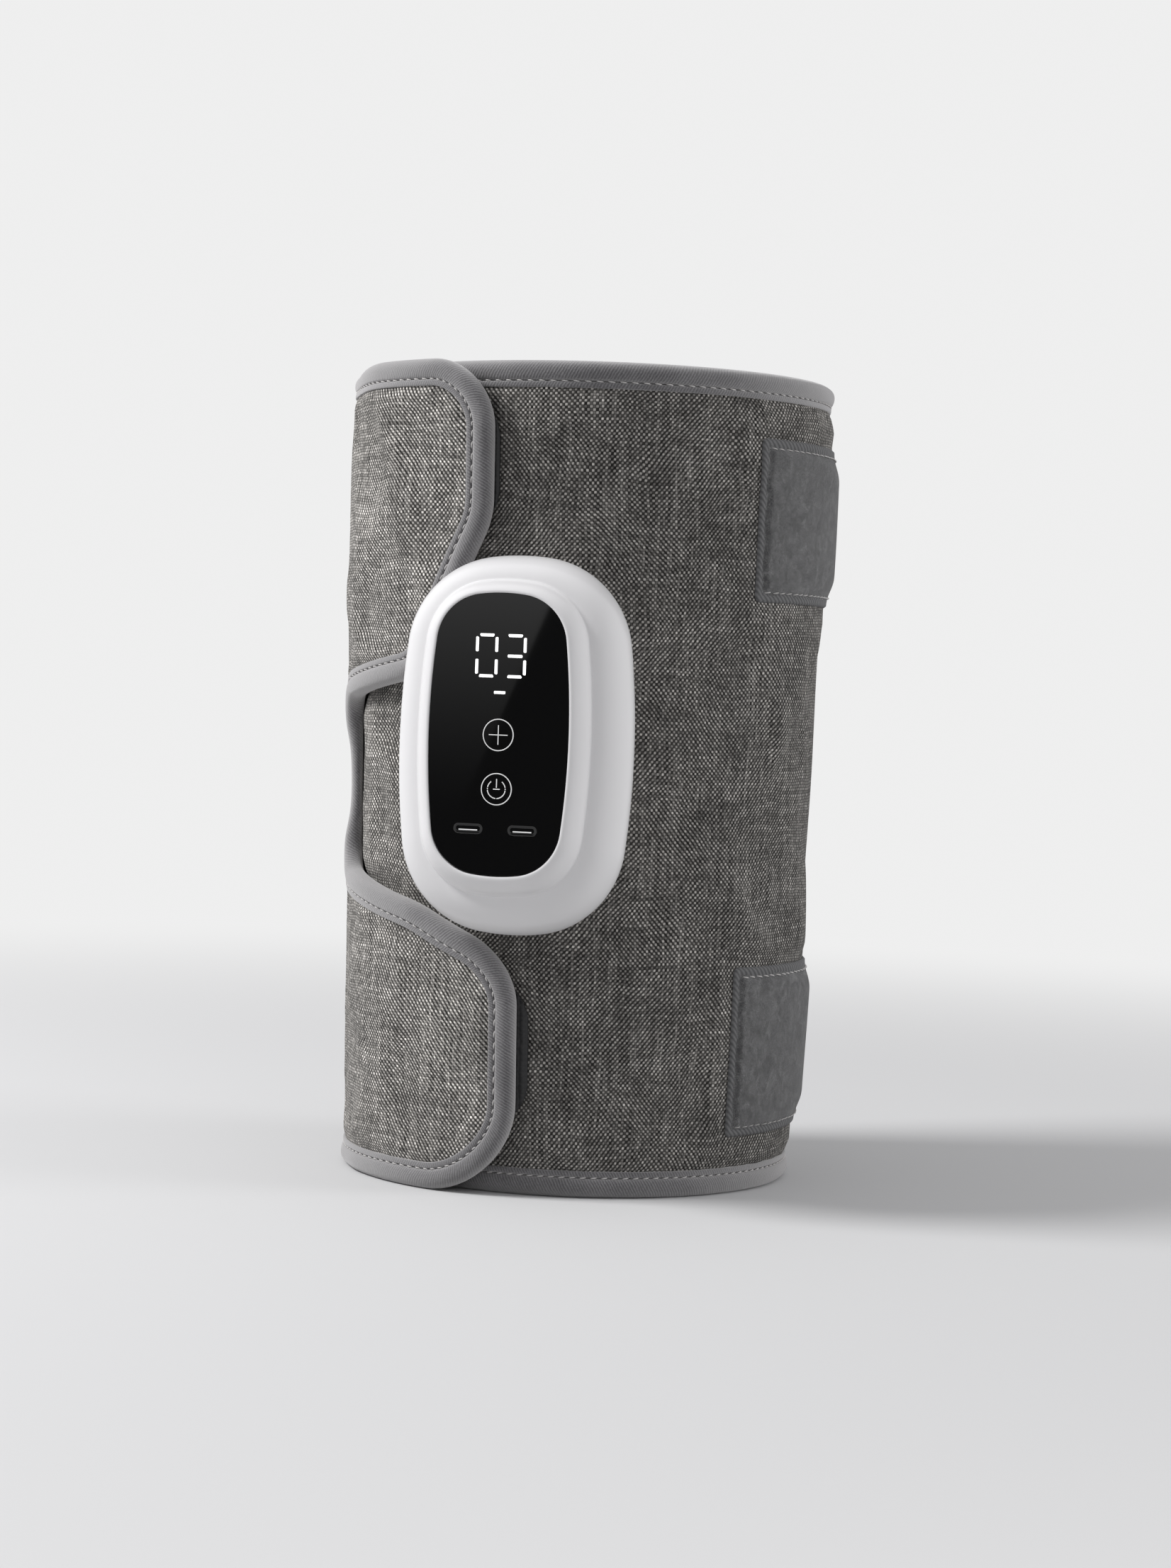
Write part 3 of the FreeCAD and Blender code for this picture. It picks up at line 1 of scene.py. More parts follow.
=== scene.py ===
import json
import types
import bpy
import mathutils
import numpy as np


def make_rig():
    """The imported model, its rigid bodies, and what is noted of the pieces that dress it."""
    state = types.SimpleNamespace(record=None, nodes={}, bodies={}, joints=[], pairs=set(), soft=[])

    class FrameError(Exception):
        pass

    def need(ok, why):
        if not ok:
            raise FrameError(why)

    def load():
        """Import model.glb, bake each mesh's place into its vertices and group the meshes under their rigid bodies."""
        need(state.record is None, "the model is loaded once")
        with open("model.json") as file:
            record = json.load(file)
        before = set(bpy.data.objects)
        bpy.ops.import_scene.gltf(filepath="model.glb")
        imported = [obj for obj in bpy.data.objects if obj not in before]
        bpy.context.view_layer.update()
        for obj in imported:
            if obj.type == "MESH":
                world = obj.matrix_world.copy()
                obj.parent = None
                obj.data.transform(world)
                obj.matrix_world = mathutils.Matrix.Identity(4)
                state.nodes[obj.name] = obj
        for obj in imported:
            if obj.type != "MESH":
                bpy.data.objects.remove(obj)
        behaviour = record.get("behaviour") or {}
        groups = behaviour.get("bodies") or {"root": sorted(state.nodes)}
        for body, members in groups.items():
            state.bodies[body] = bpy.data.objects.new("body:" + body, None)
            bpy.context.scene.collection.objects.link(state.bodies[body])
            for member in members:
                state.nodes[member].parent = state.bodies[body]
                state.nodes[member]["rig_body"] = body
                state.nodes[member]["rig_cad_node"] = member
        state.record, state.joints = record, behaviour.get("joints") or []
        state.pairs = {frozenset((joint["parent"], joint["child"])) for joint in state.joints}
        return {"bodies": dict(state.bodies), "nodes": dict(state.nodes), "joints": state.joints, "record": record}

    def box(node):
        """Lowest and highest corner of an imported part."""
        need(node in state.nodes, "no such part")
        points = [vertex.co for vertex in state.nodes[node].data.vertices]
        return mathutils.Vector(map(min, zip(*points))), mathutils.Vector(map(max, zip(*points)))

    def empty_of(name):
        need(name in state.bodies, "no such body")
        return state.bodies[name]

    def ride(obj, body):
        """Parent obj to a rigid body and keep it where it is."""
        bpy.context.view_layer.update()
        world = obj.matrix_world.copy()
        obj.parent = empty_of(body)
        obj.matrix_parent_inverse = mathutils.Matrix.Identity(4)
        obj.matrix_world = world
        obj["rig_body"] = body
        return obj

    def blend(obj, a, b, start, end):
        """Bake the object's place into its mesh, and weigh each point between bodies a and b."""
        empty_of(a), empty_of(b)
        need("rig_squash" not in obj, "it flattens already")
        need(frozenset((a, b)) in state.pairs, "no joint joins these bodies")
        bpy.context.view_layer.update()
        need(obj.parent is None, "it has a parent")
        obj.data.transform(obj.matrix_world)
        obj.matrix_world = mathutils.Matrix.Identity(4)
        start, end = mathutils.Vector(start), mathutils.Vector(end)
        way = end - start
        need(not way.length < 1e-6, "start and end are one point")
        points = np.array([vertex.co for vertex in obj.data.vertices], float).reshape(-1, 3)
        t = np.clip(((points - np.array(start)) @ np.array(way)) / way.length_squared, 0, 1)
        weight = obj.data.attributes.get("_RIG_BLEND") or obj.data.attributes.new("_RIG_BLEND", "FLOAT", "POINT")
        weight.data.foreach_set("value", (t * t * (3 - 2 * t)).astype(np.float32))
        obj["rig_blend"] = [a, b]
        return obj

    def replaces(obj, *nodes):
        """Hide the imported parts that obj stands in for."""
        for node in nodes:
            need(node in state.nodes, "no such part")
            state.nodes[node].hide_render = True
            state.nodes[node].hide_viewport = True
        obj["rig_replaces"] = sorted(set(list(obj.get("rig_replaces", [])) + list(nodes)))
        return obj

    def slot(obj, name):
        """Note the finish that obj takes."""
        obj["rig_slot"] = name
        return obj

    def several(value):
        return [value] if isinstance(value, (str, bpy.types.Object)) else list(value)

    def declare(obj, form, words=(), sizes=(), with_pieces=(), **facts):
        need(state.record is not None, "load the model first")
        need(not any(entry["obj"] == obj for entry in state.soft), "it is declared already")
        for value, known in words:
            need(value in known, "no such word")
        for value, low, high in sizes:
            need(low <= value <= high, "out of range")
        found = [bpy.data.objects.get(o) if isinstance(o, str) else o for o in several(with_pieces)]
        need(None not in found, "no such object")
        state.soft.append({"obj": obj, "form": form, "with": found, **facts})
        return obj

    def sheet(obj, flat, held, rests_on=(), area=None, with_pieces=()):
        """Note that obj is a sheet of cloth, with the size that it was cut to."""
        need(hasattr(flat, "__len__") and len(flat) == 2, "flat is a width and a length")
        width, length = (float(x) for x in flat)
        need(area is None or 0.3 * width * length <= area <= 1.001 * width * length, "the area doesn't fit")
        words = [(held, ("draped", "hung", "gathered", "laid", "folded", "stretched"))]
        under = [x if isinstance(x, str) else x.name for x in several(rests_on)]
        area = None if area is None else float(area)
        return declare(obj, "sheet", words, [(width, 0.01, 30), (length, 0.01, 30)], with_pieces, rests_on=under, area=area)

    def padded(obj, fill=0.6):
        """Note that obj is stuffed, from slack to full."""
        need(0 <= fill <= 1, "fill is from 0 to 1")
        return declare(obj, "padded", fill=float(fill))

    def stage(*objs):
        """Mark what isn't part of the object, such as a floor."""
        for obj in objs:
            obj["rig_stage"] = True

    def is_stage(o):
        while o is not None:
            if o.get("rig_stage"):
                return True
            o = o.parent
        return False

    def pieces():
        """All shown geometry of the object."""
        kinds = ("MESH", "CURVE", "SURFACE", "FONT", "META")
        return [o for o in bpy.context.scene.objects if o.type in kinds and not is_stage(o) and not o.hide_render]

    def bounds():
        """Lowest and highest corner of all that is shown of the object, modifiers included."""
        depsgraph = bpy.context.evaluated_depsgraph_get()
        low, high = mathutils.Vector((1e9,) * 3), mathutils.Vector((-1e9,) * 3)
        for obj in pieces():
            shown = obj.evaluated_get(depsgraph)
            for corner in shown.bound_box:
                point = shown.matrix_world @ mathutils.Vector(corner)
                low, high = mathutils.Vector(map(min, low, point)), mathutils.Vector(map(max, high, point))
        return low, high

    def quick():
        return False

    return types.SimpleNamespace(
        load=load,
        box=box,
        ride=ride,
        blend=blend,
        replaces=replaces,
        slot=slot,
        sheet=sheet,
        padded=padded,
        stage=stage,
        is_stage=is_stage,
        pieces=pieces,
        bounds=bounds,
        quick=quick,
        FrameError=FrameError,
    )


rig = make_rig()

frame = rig.load()
size_at_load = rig.bounds()

import json

import bpy
import numpy as np
from mathutils import Matrix, Vector

# Air bags: two pillows of welded film between the foam and the lining, one in the front panel and one in the
# back panel. The pump fills them to squeeze the calf. They are cut flat and welded along all four edges.

MILLIMETRE = 0.001
WRAP_HEIGHT = 240.0
BOTTOM_RADIUS, TOP_RADIUS = 64.7, 70.45
FRONT_START, FRONT_SEAM, BACK_SEAM = -84.0, 128.0, 228.0
# Angle of each seam, and the step by which the wrap's radius grows past it.
SEAM_STEPS = ((FRONT_SEAM, 3.5), (BACK_SEAM, 0.6))
FRONT_FOLD, BACK_FOLD = (123.0, 140.0), (205.0, 250.0)
SLUMP_ANGLES, SLUMP_REACH, SLUMP_DRAW, SLUMP_DROP = (238.0, 270.0, 296.0, 318.0), 14.0, 3.0, 1.2
WAIST_ANGLES, WAIST_HEIGHT, WAIST_REACH, WAIST_DRAW = (255.0, 285.0), 116.0, 15.0, 0.9
BAG_HEIGHTS, BAG_DEPTH, BAG_MARGIN_ANGLE = (21.8, 218.2), 5.8, 5.0
WELD_WIDTHS, WELD_HALF, PILLOW_HALF = (2.0, 7.0), 0.5, 1.5
FILM_COLOUR = (0.20, 0.21, 0.22)
# Uneven gloss of plain stuff: grains a metre and shares of its roughness. Then the height of its fine grain.
GLOSS_SCALE, GLOSS_LOW, GLOSS_HIGH, GRAIN_HEIGHT = 120.0, 0.9, 1.12, 0.02


def outward(angle):
    """Direction in plan away from the leg: sine and less cosine of the angle past the front, to the right."""
    turn = np.radians(angle)
    return np.stack([np.sin(turn), -np.cos(turn)], axis=-1)


def wrap_radius(height):
    """Outer radius of the front panel, which widens evenly from the bottom rim to the top rim."""
    return BOTTOM_RADIUS + (TOP_RADIUS - BOTTOM_RADIUS) * height / WRAP_HEIGHT


def eased(value, low, high):
    """Smooth step from 0 at low to 1 at high: three squares less two cubes of the share between them."""
    share = np.clip((np.asarray(value, float) - low) / (high - low), 0, 1)
    return share * share * (3 - 2 * share)


def plateau(value, reach):
    """Flat-topped bell: the exponential of less the fourth power of value over reach."""
    return np.exp(-(value / reach) ** 4)


def wrap_point(angle, height, depth):
    """Point of the wrap at an angle, a height and a depth below the outer face. Past each seam the radius
    grows by a step and the centre goes back by it, so the circle turns smoothly into a spiral. On the left
    the top rim slumps: it is drawn in and down by an exponential of the height below the rim. The closing
    panel is drawn in a little at its waist, by a flat-topped bell of the height."""
    angle, height, depth = np.broadcast_arrays(angle, height, depth)
    turn = np.where(angle < 0, angle + 360, angle)
    slump = eased(turn, *SLUMP_ANGLES[:2]) * (1 - eased(turn, *SLUMP_ANGLES[2:]))
    slump = slump * np.exp((height - WRAP_HEIGHT) / SLUMP_REACH)
    waist = eased(angle, *WAIST_ANGLES) * plateau(height - WAIST_HEIGHT, WAIST_REACH)
    radius = wrap_radius(height) - depth - SLUMP_DRAW * slump - WAIST_DRAW * waist
    height = height - SLUMP_DROP * slump
    centre = np.zeros(angle.shape + (2,))
    for seam, step in SEAM_STEPS:
        past = angle > seam
        radius = radius + step * past
        centre = centre - step * past[..., None] * outward(seam)
    plan = centre + outward(angle) * radius[..., None]
    return np.concatenate([plan, height[..., None]], axis=-1)


def cloth_length(angle):
    """Length along the outer face at half height: radius times angle, with each seam's step added past it."""
    length = wrap_radius(WRAP_HEIGHT / 2) * np.radians(angle)
    for seam, step in SEAM_STEPS:
        length = length + step * np.radians(np.maximum(angle - seam, 0))
    return length


def face_corners(values):
    """Values at the four corners of each cell between neighbouring rows and columns, going round the cell."""
    return np.stack([values[..., :-1, :-1], values[..., :-1, 1:],
                     values[..., 1:, 1:], values[..., 1:, :-1]], axis=-1)


def surface(points, cloth=None, finish=0, ring=False, loop=False, capped=False):
    """A grid of points in rows and columns, with the cloth lengths that its pattern follows. A ring's last
    row meets its first, a loop's last column meets its first, and a capped ring is closed at both ends."""
    number = np.arange(np.prod(points.shape[:-1])).reshape(points.shape[:-1])
    cloth = cloth or (points[..., 0], points[..., 2])
    along, across = (np.broadcast_to(part, number.shape) for part in cloth)
    caps = [number[:, 0], number[::-1, -1]] if capped else []
    if ring:
        number, along, across = (np.concatenate([part, part[..., :1, :]], axis=-2)
                                 for part in (number, along, across))
    if loop:
        number, along, across = (np.concatenate([part, part[..., :1]], axis=-1)
                                 for part in (number, along, across))
    faces = face_corners(number)
    finish = finish if np.ndim(finish) == 2 else np.reshape(finish, (-1, 1))
    finishes = np.broadcast_to(finish, faces.shape[:-1])
    lengths = np.stack([face_corners(along), face_corners(across)], axis=-1)
    return points.reshape(-1, 3), faces.reshape(-1, 4), lengths.reshape(-1, 2), finishes.reshape(-1), caps


def make_piece(name, surfaces, *finishes):
    """One mesh from surfaces in millimetres, with its cloth lengths as UV map and its finishes by number."""
    count, points, faces, lengths, numbers, flat = 0, [], [], [], [], []
    for grid, cells, cloth, finish, caps in surfaces:
        points.append(grid)
        faces += (cells + count).tolist() + [(cap + count).tolist() for cap in caps]
        lengths += [cloth, np.zeros((sum(len(cap) for cap in caps), 2))]
        numbers += [finish, np.full(len(caps), finish.max(initial=0))]
        flat += [np.zeros(len(cells), bool), np.ones(len(caps), bool)]
        count += len(grid)
    mesh = bpy.data.meshes.new(name)
    mesh.from_pydata((np.concatenate(points) * MILLIMETRE).tolist(), [], faces)
    mesh.polygons.foreach_set("use_smooth", ~np.concatenate(flat))
    mesh.polygons.foreach_set("material_index", np.concatenate(numbers).astype(np.int32))
    layer = mesh.uv_layers.new(name="cloth")
    layer.data.foreach_set("uv", np.concatenate(lengths).astype(np.float32).ravel())
    for finish in finishes:
        mesh.materials.append(finish)
    piece = bpy.data.objects.new(name, mesh)
    bpy.context.scene.collection.objects.link(piece)
    return piece


def doubled(*parts):
    """Each grid with itself turned over below it, for a slab whose rows go up one face and down the other."""
    return [np.concatenate([part, part[::-1]]) for part in parts]


def slab(angle, height, outer, inner, finish=0):
    """A closed slab of cloth, foam or film on angles and heights, given as two lists or as two grids: its
    rows go up the outer depth and down the inner one."""
    if np.ndim(angle) == 1:
        angle, height = np.meshgrid(angle, height)
    points = np.concatenate([wrap_point(angle, height, outer), wrap_point(angle, height, inner)[::-1]])
    return surface(points, doubled(cloth_length(angle), height), finish, ring=True, capped=True)


def new_finish(name, colour, roughness, **settings):
    """A plain finish with one colour, one roughness and other settings, which nodes can refine."""
    finish = bpy.data.materials.new(name)
    finish.use_nodes = True
    inputs = finish.node_tree.nodes["Principled BSDF"].inputs
    inputs["Base Color"].default_value = (*colour, 1)
    inputs["Roughness"].default_value = roughness
    for setting, value in settings.items():
        inputs[setting.replace("_", " ")].default_value = value
    return finish


def node_out(holder, kind, inputs, output=0, **choices):
    """Adds a shader node with its choices and gives one of its outputs. Each input takes a value, or the
    output that feeds it."""
    node = holder.node_tree.nodes.new("ShaderNode" + kind)
    for choice, value in choices.items():
        setattr(node, choice, value)
    for place, value in inputs.items():
        if isinstance(value, bpy.types.NodeSocket):
            holder.node_tree.links.new(value, node.inputs[place])
        else:
            node.inputs[place].default_value = value
    return node.outputs[output]


def feed(finish, place, output):
    """Joins an output to an input of the finish's surface shader."""
    finish.node_tree.links.new(output, finish.node_tree.nodes["Principled BSDF"].inputs[place])


def maths(holder, operation, *values):
    """Output of one sum on values and outputs."""
    return node_out(holder, "Math", dict(enumerate(values)), operation=operation)


def spread(finish, value, first, last, low=0.0, high=1.0, kind="LINEAR"):
    """Maps low to high onto first to last."""
    inputs = {0: value, 1: low, 2: high, 3: first, 4: last}
    return node_out(finish, "MapRange", inputs, interpolation_type=kind)


def noise(finish, place, scale, detail=2.0, roughness=0.5, distortion=0.0, output="Fac"):
    """Output of noise at a place, with its scale in grains for each unit of the place."""
    inputs = {"Scale": scale, "Detail": detail, "Roughness": roughness, "Distortion": distortion}
    return node_out(finish, "TexNoise", {"Vector": place, **inputs}, output)


def object_noise(finish, scale, *settings):
    """Output of noise in the object's own space, with its scale in grains a metre."""
    return noise(finish, node_out(finish, "TexCoord", {}, "Object"), scale, *settings)


def shades(finish, value, *stops):
    """Colour ramp through stops of place and colour."""
    output = node_out(finish, "ValToRGB", {"Fac": value}, "Color")
    ramp = output.node.color_ramp.elements
    while len(ramp) < len(stops):
        ramp.new(0.5)
    for element, (place, colour) in zip(ramp, stops):
        element.position = place
        element.color = (*colour, 1)
    return output


def bump(finish, height, strength, distance):
    """Turns a height into small relief, with its distance in millimetres."""
    inputs = {"Height": height, "Strength": strength, "Distance": distance * MILLIMETRE}
    feed(finish, "Normal", node_out(finish, "Bump", inputs, "Normal"))


def moulded_finish(name, colour, roughness, grain=9000.0, relief=0.06, **settings):
    """Plain moulded, coated or rolled stuff: slightly uneven gloss and a fine grain."""
    finish = new_finish(name, colour, roughness, **settings)
    gloss = spread(finish, object_noise(finish, GLOSS_SCALE), roughness * GLOSS_LOW, roughness * GLOSS_HIGH)
    feed(finish, "Roughness", gloss)
    bump(finish, object_noise(finish, grain), relief, GRAIN_HEIGHT)
    return finish


def pillow_half(angles, heights, low, high):
    """Half thickness of a welded pillow: the weld's own, rising over a weld's width from every edge."""
    across = np.minimum(heights - low, high - heights)[:, None]
    along = np.minimum(angles - angles[0], angles[-1] - angles) * np.radians(wrap_radius(WRAP_HEIGHT / 2))
    return WELD_HALF + (PILLOW_HALF - WELD_HALF) * eased(np.minimum(across, along), *WELD_WIDTHS)


def fold_line(start, end):
    """The two points, in metres at half height, between which a piece turns from one body to the next."""
    return [Vector(wrap_point(angle, WRAP_HEIGHT / 2, 0.0) * MILLIMETRE) for angle in (start, end)]


def carry_padding(piece, body):
    """Puts a soft inner piece on its body. What lies in the back panel bends into the closing panel's
    fold."""
    if body == "front":
        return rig.ride(piece, body)
    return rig.blend(piece, body, "closure", *fold_line(*BACK_FOLD))


airbag_film = moulded_finish("airbag film", FILM_COLOUR, 0.35)
bag_heights = np.linspace(*BAG_HEIGHTS, 60)
for node, body, start, end in (("front_airbag", "front", FRONT_START, FRONT_SEAM),
                               ("back_airbag", "back", FRONT_SEAM, BACK_SEAM)):
    bag_angles = np.linspace(start + BAG_MARGIN_ANGLE, end - BAG_MARGIN_ANGLE, 60)
    half = pillow_half(bag_angles, bag_heights, *BAG_HEIGHTS)
    pillow = slab(bag_angles, bag_heights, BAG_DEPTH - half, BAG_DEPTH + half)
    bag = make_piece(node + "_film", [pillow], airbag_film)
    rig.replaces(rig.slot(carry_padding(bag, body), "airbag_film"), node)
    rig.padded(bag, 0.3)

# Foam: a thin sheet of soft foam under the cover fabric, cut to the panel and laid in loose. The front sheet
# has a window for the plate that clamps the controller.

FOAM_HEIGHTS, FOAM_DEPTHS, FOAM_END_ANGLE = (16.1, 223.9), (2.4, 4.0), 1.0
PLATE_MARGIN = 1.5
FOAM_COLOUR = (0.55, 0.52, 0.42)

foam = new_finish("foam", FOAM_COLOUR, 0.95)
bump(foam, object_noise(foam, 1500.0, 3.0), 0.5, 0.3)

plate_low, plate_high = (np.array(corner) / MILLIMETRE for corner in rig.box("backing_plate"))
plate_angle = np.degrees(np.arcsin((plate_high[0] + PLATE_MARGIN) / wrap_radius(WRAP_HEIGHT / 2)))
front_foam_parts = [(FRONT_START + FOAM_END_ANGLE, -plate_angle, *FOAM_HEIGHTS),
                    (plate_angle, FRONT_SEAM - FOAM_END_ANGLE, *FOAM_HEIGHTS),
                    (-plate_angle, plate_angle, FOAM_HEIGHTS[0], plate_low[2] - PLATE_MARGIN),
                    (-plate_angle, plate_angle, plate_high[2] + PLATE_MARGIN, FOAM_HEIGHTS[1])]
back_foam_parts = [(FRONT_SEAM + FOAM_END_ANGLE, BACK_SEAM - FOAM_END_ANGLE, *FOAM_HEIGHTS)]
for body, parts in (("front", front_foam_parts), ("back", back_foam_parts)):
    sheets = [slab(np.linspace(start, end, 40), np.linspace(low, high, 12), *FOAM_DEPTHS)
              for start, end, low, high in parts]
    pad = make_piece(f"{body}_padding_foam", sheets, foam)
    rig.replaces(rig.slot(carry_padding(pad, body), "foam"), f"{body}_padding")
    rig.padded(pad, 0.5)

# Heating pad: a thin printed film that lies behind the calf, between the back air bag and the lining, and is
# held by the lining's stitching.

HEATER_ANGLES, HEATER_HEIGHTS, HEATER_DEPTHS = (136.0, 220.0), (60.0, 180.0), (7.6, 8.2)
HEATER_COLOUR = (0.32, 0.10, 0.03)

heater_film = moulded_finish("heater film", HEATER_COLOUR, 0.4)
heater_sheet = slab(np.linspace(*HEATER_ANGLES, 50), np.linspace(*HEATER_HEIGHTS, 20), *HEATER_DEPTHS)
heater = make_piece("heating_film", [heater_sheet], heater_film)
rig.replaces(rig.slot(carry_padding(heater, "back"), "heater_film"), "heating_pad")
heater_width = cloth_length(HEATER_ANGLES[1]) - cloth_length(HEATER_ANGLES[0])
heater_height = HEATER_HEIGHTS[1] - HEATER_HEIGHTS[0]
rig.sheet(heater, (heater_width * MILLIMETRE, heater_height * MILLIMETRE), "laid", ["back_airbag_film"])

# Lining: soft brushed knit next to the leg, stretched over the air bags and sewn into the tape at both rims.
# It turns thin where the closing panel starts, because nothing is padded there.

LINING_COLOUR = (0.13, 0.13, 0.135)
LINING_THICKNESS = 1.4
LINING_DEPTH, LINING_RIM_DEPTH, CLOSURE_LINING_DEPTH = 8.6, 4.5, 2.8
LINING_SLOPE = (5.0, 17.0)
RIM_CLOTH, LINING_INSET = 2.7, 0.6
CLOSURE_TURN = (220.0, 238.0)
RIGHT_SPLIT, LEFT_SPLIT, TAB_SPLIT, LINING_END = 122.0, 178.0, 285.0, 291.0
KNIT_PITCH = 1.1
ANGLE_STEP, END_SUPPORT = 1.5, 0.04


def cloth_place(finish):
    """Place on the cloth: the piece's own lengths along and across it, in millimetres."""
    return node_out(finish, "UVMap", {}, "UV", uv_map="cloth")


def ribs(finish, place, pitch, inputs, **choices):
    """Fine ribs across a place in millimetres, whose wave has twenty turns for each full turn of its
    scale."""
    inputs = {"Vector": place, "Scale": 2 * np.pi / 20 / pitch, **inputs}
    return node_out(finish, "TexWave", inputs, "Fac", **choices)


lining_knit = new_finish("lining knit", LINING_COLOUR, 0.95, Sheen_Weight=0.25)
feed(lining_knit, "Base Color", shades(lining_knit, object_noise(lining_knit, 700.0, 4.0, 0.7),
                                       (0.3, (0.085, 0.085, 0.09)), (0.7, (0.18, 0.178, 0.18))))
bump(lining_knit, ribs(lining_knit, cloth_place(lining_knit), KNIT_PITCH,
                       {"Distortion": 1.5, "Detail Scale": 3.0}), 0.5, 0.25)


def rim_distance(height):
    """Distance to the nearer rim of the wrap."""
    return np.minimum(height, WRAP_HEIGHT - height)


def lining_depth(angle, height):
    """Outer depth of the lining: drawn in at the rims, full over the bags, and shallow past the back seam."""
    padded = LINING_RIM_DEPTH + (LINING_DEPTH - LINING_RIM_DEPTH) * eased(rim_distance(height), *LINING_SLOPE)
    return padded + (CLOSURE_LINING_DEPTH - padded) * eased(angle, *CLOSURE_TURN)


def close_ends(places):
    """Places in order, with one more just inside each end, which keeps the shading true up to the end."""
    gap = END_SUPPORT * np.sign(places[-1] - places[0])
    return np.r_[places[0], places[0] + gap, places[1:-1], places[-1] - gap, places[-1]]


def wrap_angles(start, end):
    """Angles from start to end in even steps."""
    return close_ends(np.linspace(start, end, int(round((end - start) / ANGLE_STEP)) + 1))


def carry(piece, start):
    """Puts a piece of the wrap on its body, or bends it across the fold that it covers."""
    if start < RIGHT_SPLIT:
        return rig.ride(piece, "front")
    if start < LEFT_SPLIT:
        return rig.blend(piece, "front", "back", *fold_line(*FRONT_FOLD))
    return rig.blend(piece, "back", "closure", *fold_line(*BACK_FOLD))


lining_heights = np.linspace(RIM_CLOTH + LINING_INSET, WRAP_HEIGHT - RIM_CLOTH - LINING_INSET, 80)
for name, start, end, node in (("front", FRONT_START, RIGHT_SPLIT, "front"),
                               ("right", RIGHT_SPLIT, LEFT_SPLIT, "back"),
                               ("left", LEFT_SPLIT, LINING_END, "closure")):
    angles = wrap_angles(start, end)
    depth = lining_depth(*np.meshgrid(angles, lining_heights))
    cloth = slab(angles, lining_heights, depth, depth + LINING_THICKNESS)
    lining = make_piece(f"{name}_lining_knit", [cloth], lining_knit)
    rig.replaces(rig.slot(carry(lining, start), "lining_knit"), f"{node}_lining")
    lining_length = cloth_length(end) - cloth_length(start)
    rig.sheet(lining, (lining_length * MILLIMETRE, (WRAP_HEIGHT - 2 * RIM_CLOTH) * MILLIMETRE), "stretched")

# Cover fabric: heathered plain weave, dark warp and pale weft, drawn tight round the foam so that it stands
# proud of the tape at the rims. The closing panel is the same cloth, and ends in an upper and a lower tab.

COVER_THICKNESS = 1.9
RIM_DRAW, RIM_REACH, TAPE_MOUTH = 2.3, 4.5, 7.0
CLOSURE_COVER_DEPTH, CLOSURE_CROWN, CLOSURE_RISE, CLOSURE_CALM = 0.95, 0.8, 6.0, 0.6
TAB_FACING, TAB_THICKNESS, TAB_CLOTH_INSET, TAB_FOLD = 327.0, 3.3, 2.7, (306.0, 318.0)
TAB_CELLS, STRIP_CELLS = 60, 12
EDGE_STEP, EDGE_SEARCH_ANGLE, FAR_AWAY, SAME_PLACE = 1.5, 20.0, 1e3, 0.02
# Corners of the closing panel's edge, seen along the tabs' facing: reach to the right, height, corner radius.
UPPER_EDGE_CORNERS = ((31.6, 240.0, 20.0), (31.6, 194.3, 25.0), (9.0, 148.5, 15.0), (-40.0, 140.6, 9.0))
LOWER_EDGE_CORNERS = ((-40.0, 91.5, 9.0), (8.0, 83.0, 60.0), (39.8, 69.5, 22.0), (39.8, 0.0, 27.0))
# Folds of the front panel: place along the cloth, height, lean, half length, half width and rise.
CREASES = ((8.0, 59.0, -53.0, 14.0, 3.2, 0.75), (18.0, 63.0, -50.0, 13.0, 3.0, 0.6),
           (30.0, 66.0, -42.0, 12.0, 3.4, 0.5), (52.0, 78.0, -62.0, 22.0, 4.5, 0.55),
           (66.0, 96.0, -70.0, 26.0, 4.0, 0.5), (44.0, 190.0, 64.0, 18.0, 4.5, 0.45),
           (62.0, 205.0, 58.0, 14.0, 4.0, 0.4), (20.0, 205.0, -66.0, 16.0, 4.5, 0.4))
# Waves of the puckers: length, sway, length of the sway and share.
PUCKER_WAVES, PUCKER_RISE, PUCKER_REACH = ((1.7, 1.3, 11.0, 1.0), (3.1, 2.0, 23.0, 0.7)), 0.16, 6.0
# Waves of the slow unevenness: length up the wrap and along it.
UNEVEN_WAVES, UNEVEN_RISE, UNEVEN_START = ((27.0, 41.0), (17.0, -23.0)), 0.3, (6.0, 30.0)
WINDOW_ANGLES, WINDOW_HEIGHTS, WINDOW_BULGE = (-74.0, -60.0, -56.0, -30.0), (84.0, 95.0, 136.0, 148.0), 2.6
FOOT_HALF, CONTROLLER_HEIGHT = (30.0, 49.0), 130.0
LOOP_ANGLES, LOOP_HEIGHTS = (56.9, 123.0), {"upper": (173.5, 221.0), "lower": (17.0, 67.0)}
DEGREE_LENGTH = 1.18
# Distances over which the cloth comes free of what holds it.
FREE_OF_TAPE, FREE_OF_EDGE, FREE_OF_FOOT = (6.0, 12.0), (6.0, 11.0), (0.0, 6.0)
FREE_OF_PATCH, FREE_OF_TABS, FREE_OF_SPLIT, FREE_OF_TAB_SPLIT = (1.0, 6.0), (1.0, 8.0), (0.0, 8.0), (0.0, 6.0)
HELD_SHARE = 0.02
CLOTH_SLACK, CLOTH_PRESSURE, CLOTH_MASS, CLOTH_BENDING = 0.015, 2.0, 0.01, 0.3
CLOTH_FRAMES, CLOTH_QUALITY, CLOTH_CAP = 20, 4, (-0.7, 1.1)
YARN_PITCHES, YARN_DRIFT, YARN_APART, YARN_CHANGE = (0.725, 0.815), 4.0, 1.37, 0.03
# Painted light: over these turns the cover is painted lighter towards the tabs and the front panel's left end, and
# darker on the rest of the front, where the key lamp from the left falls. The tabs' turn also steers the weave's
# slant.
TAB_TURN, LEFT_PAINTED_LIGHT_TURN = (190.0, 285.0), (-20.0, -52.0)
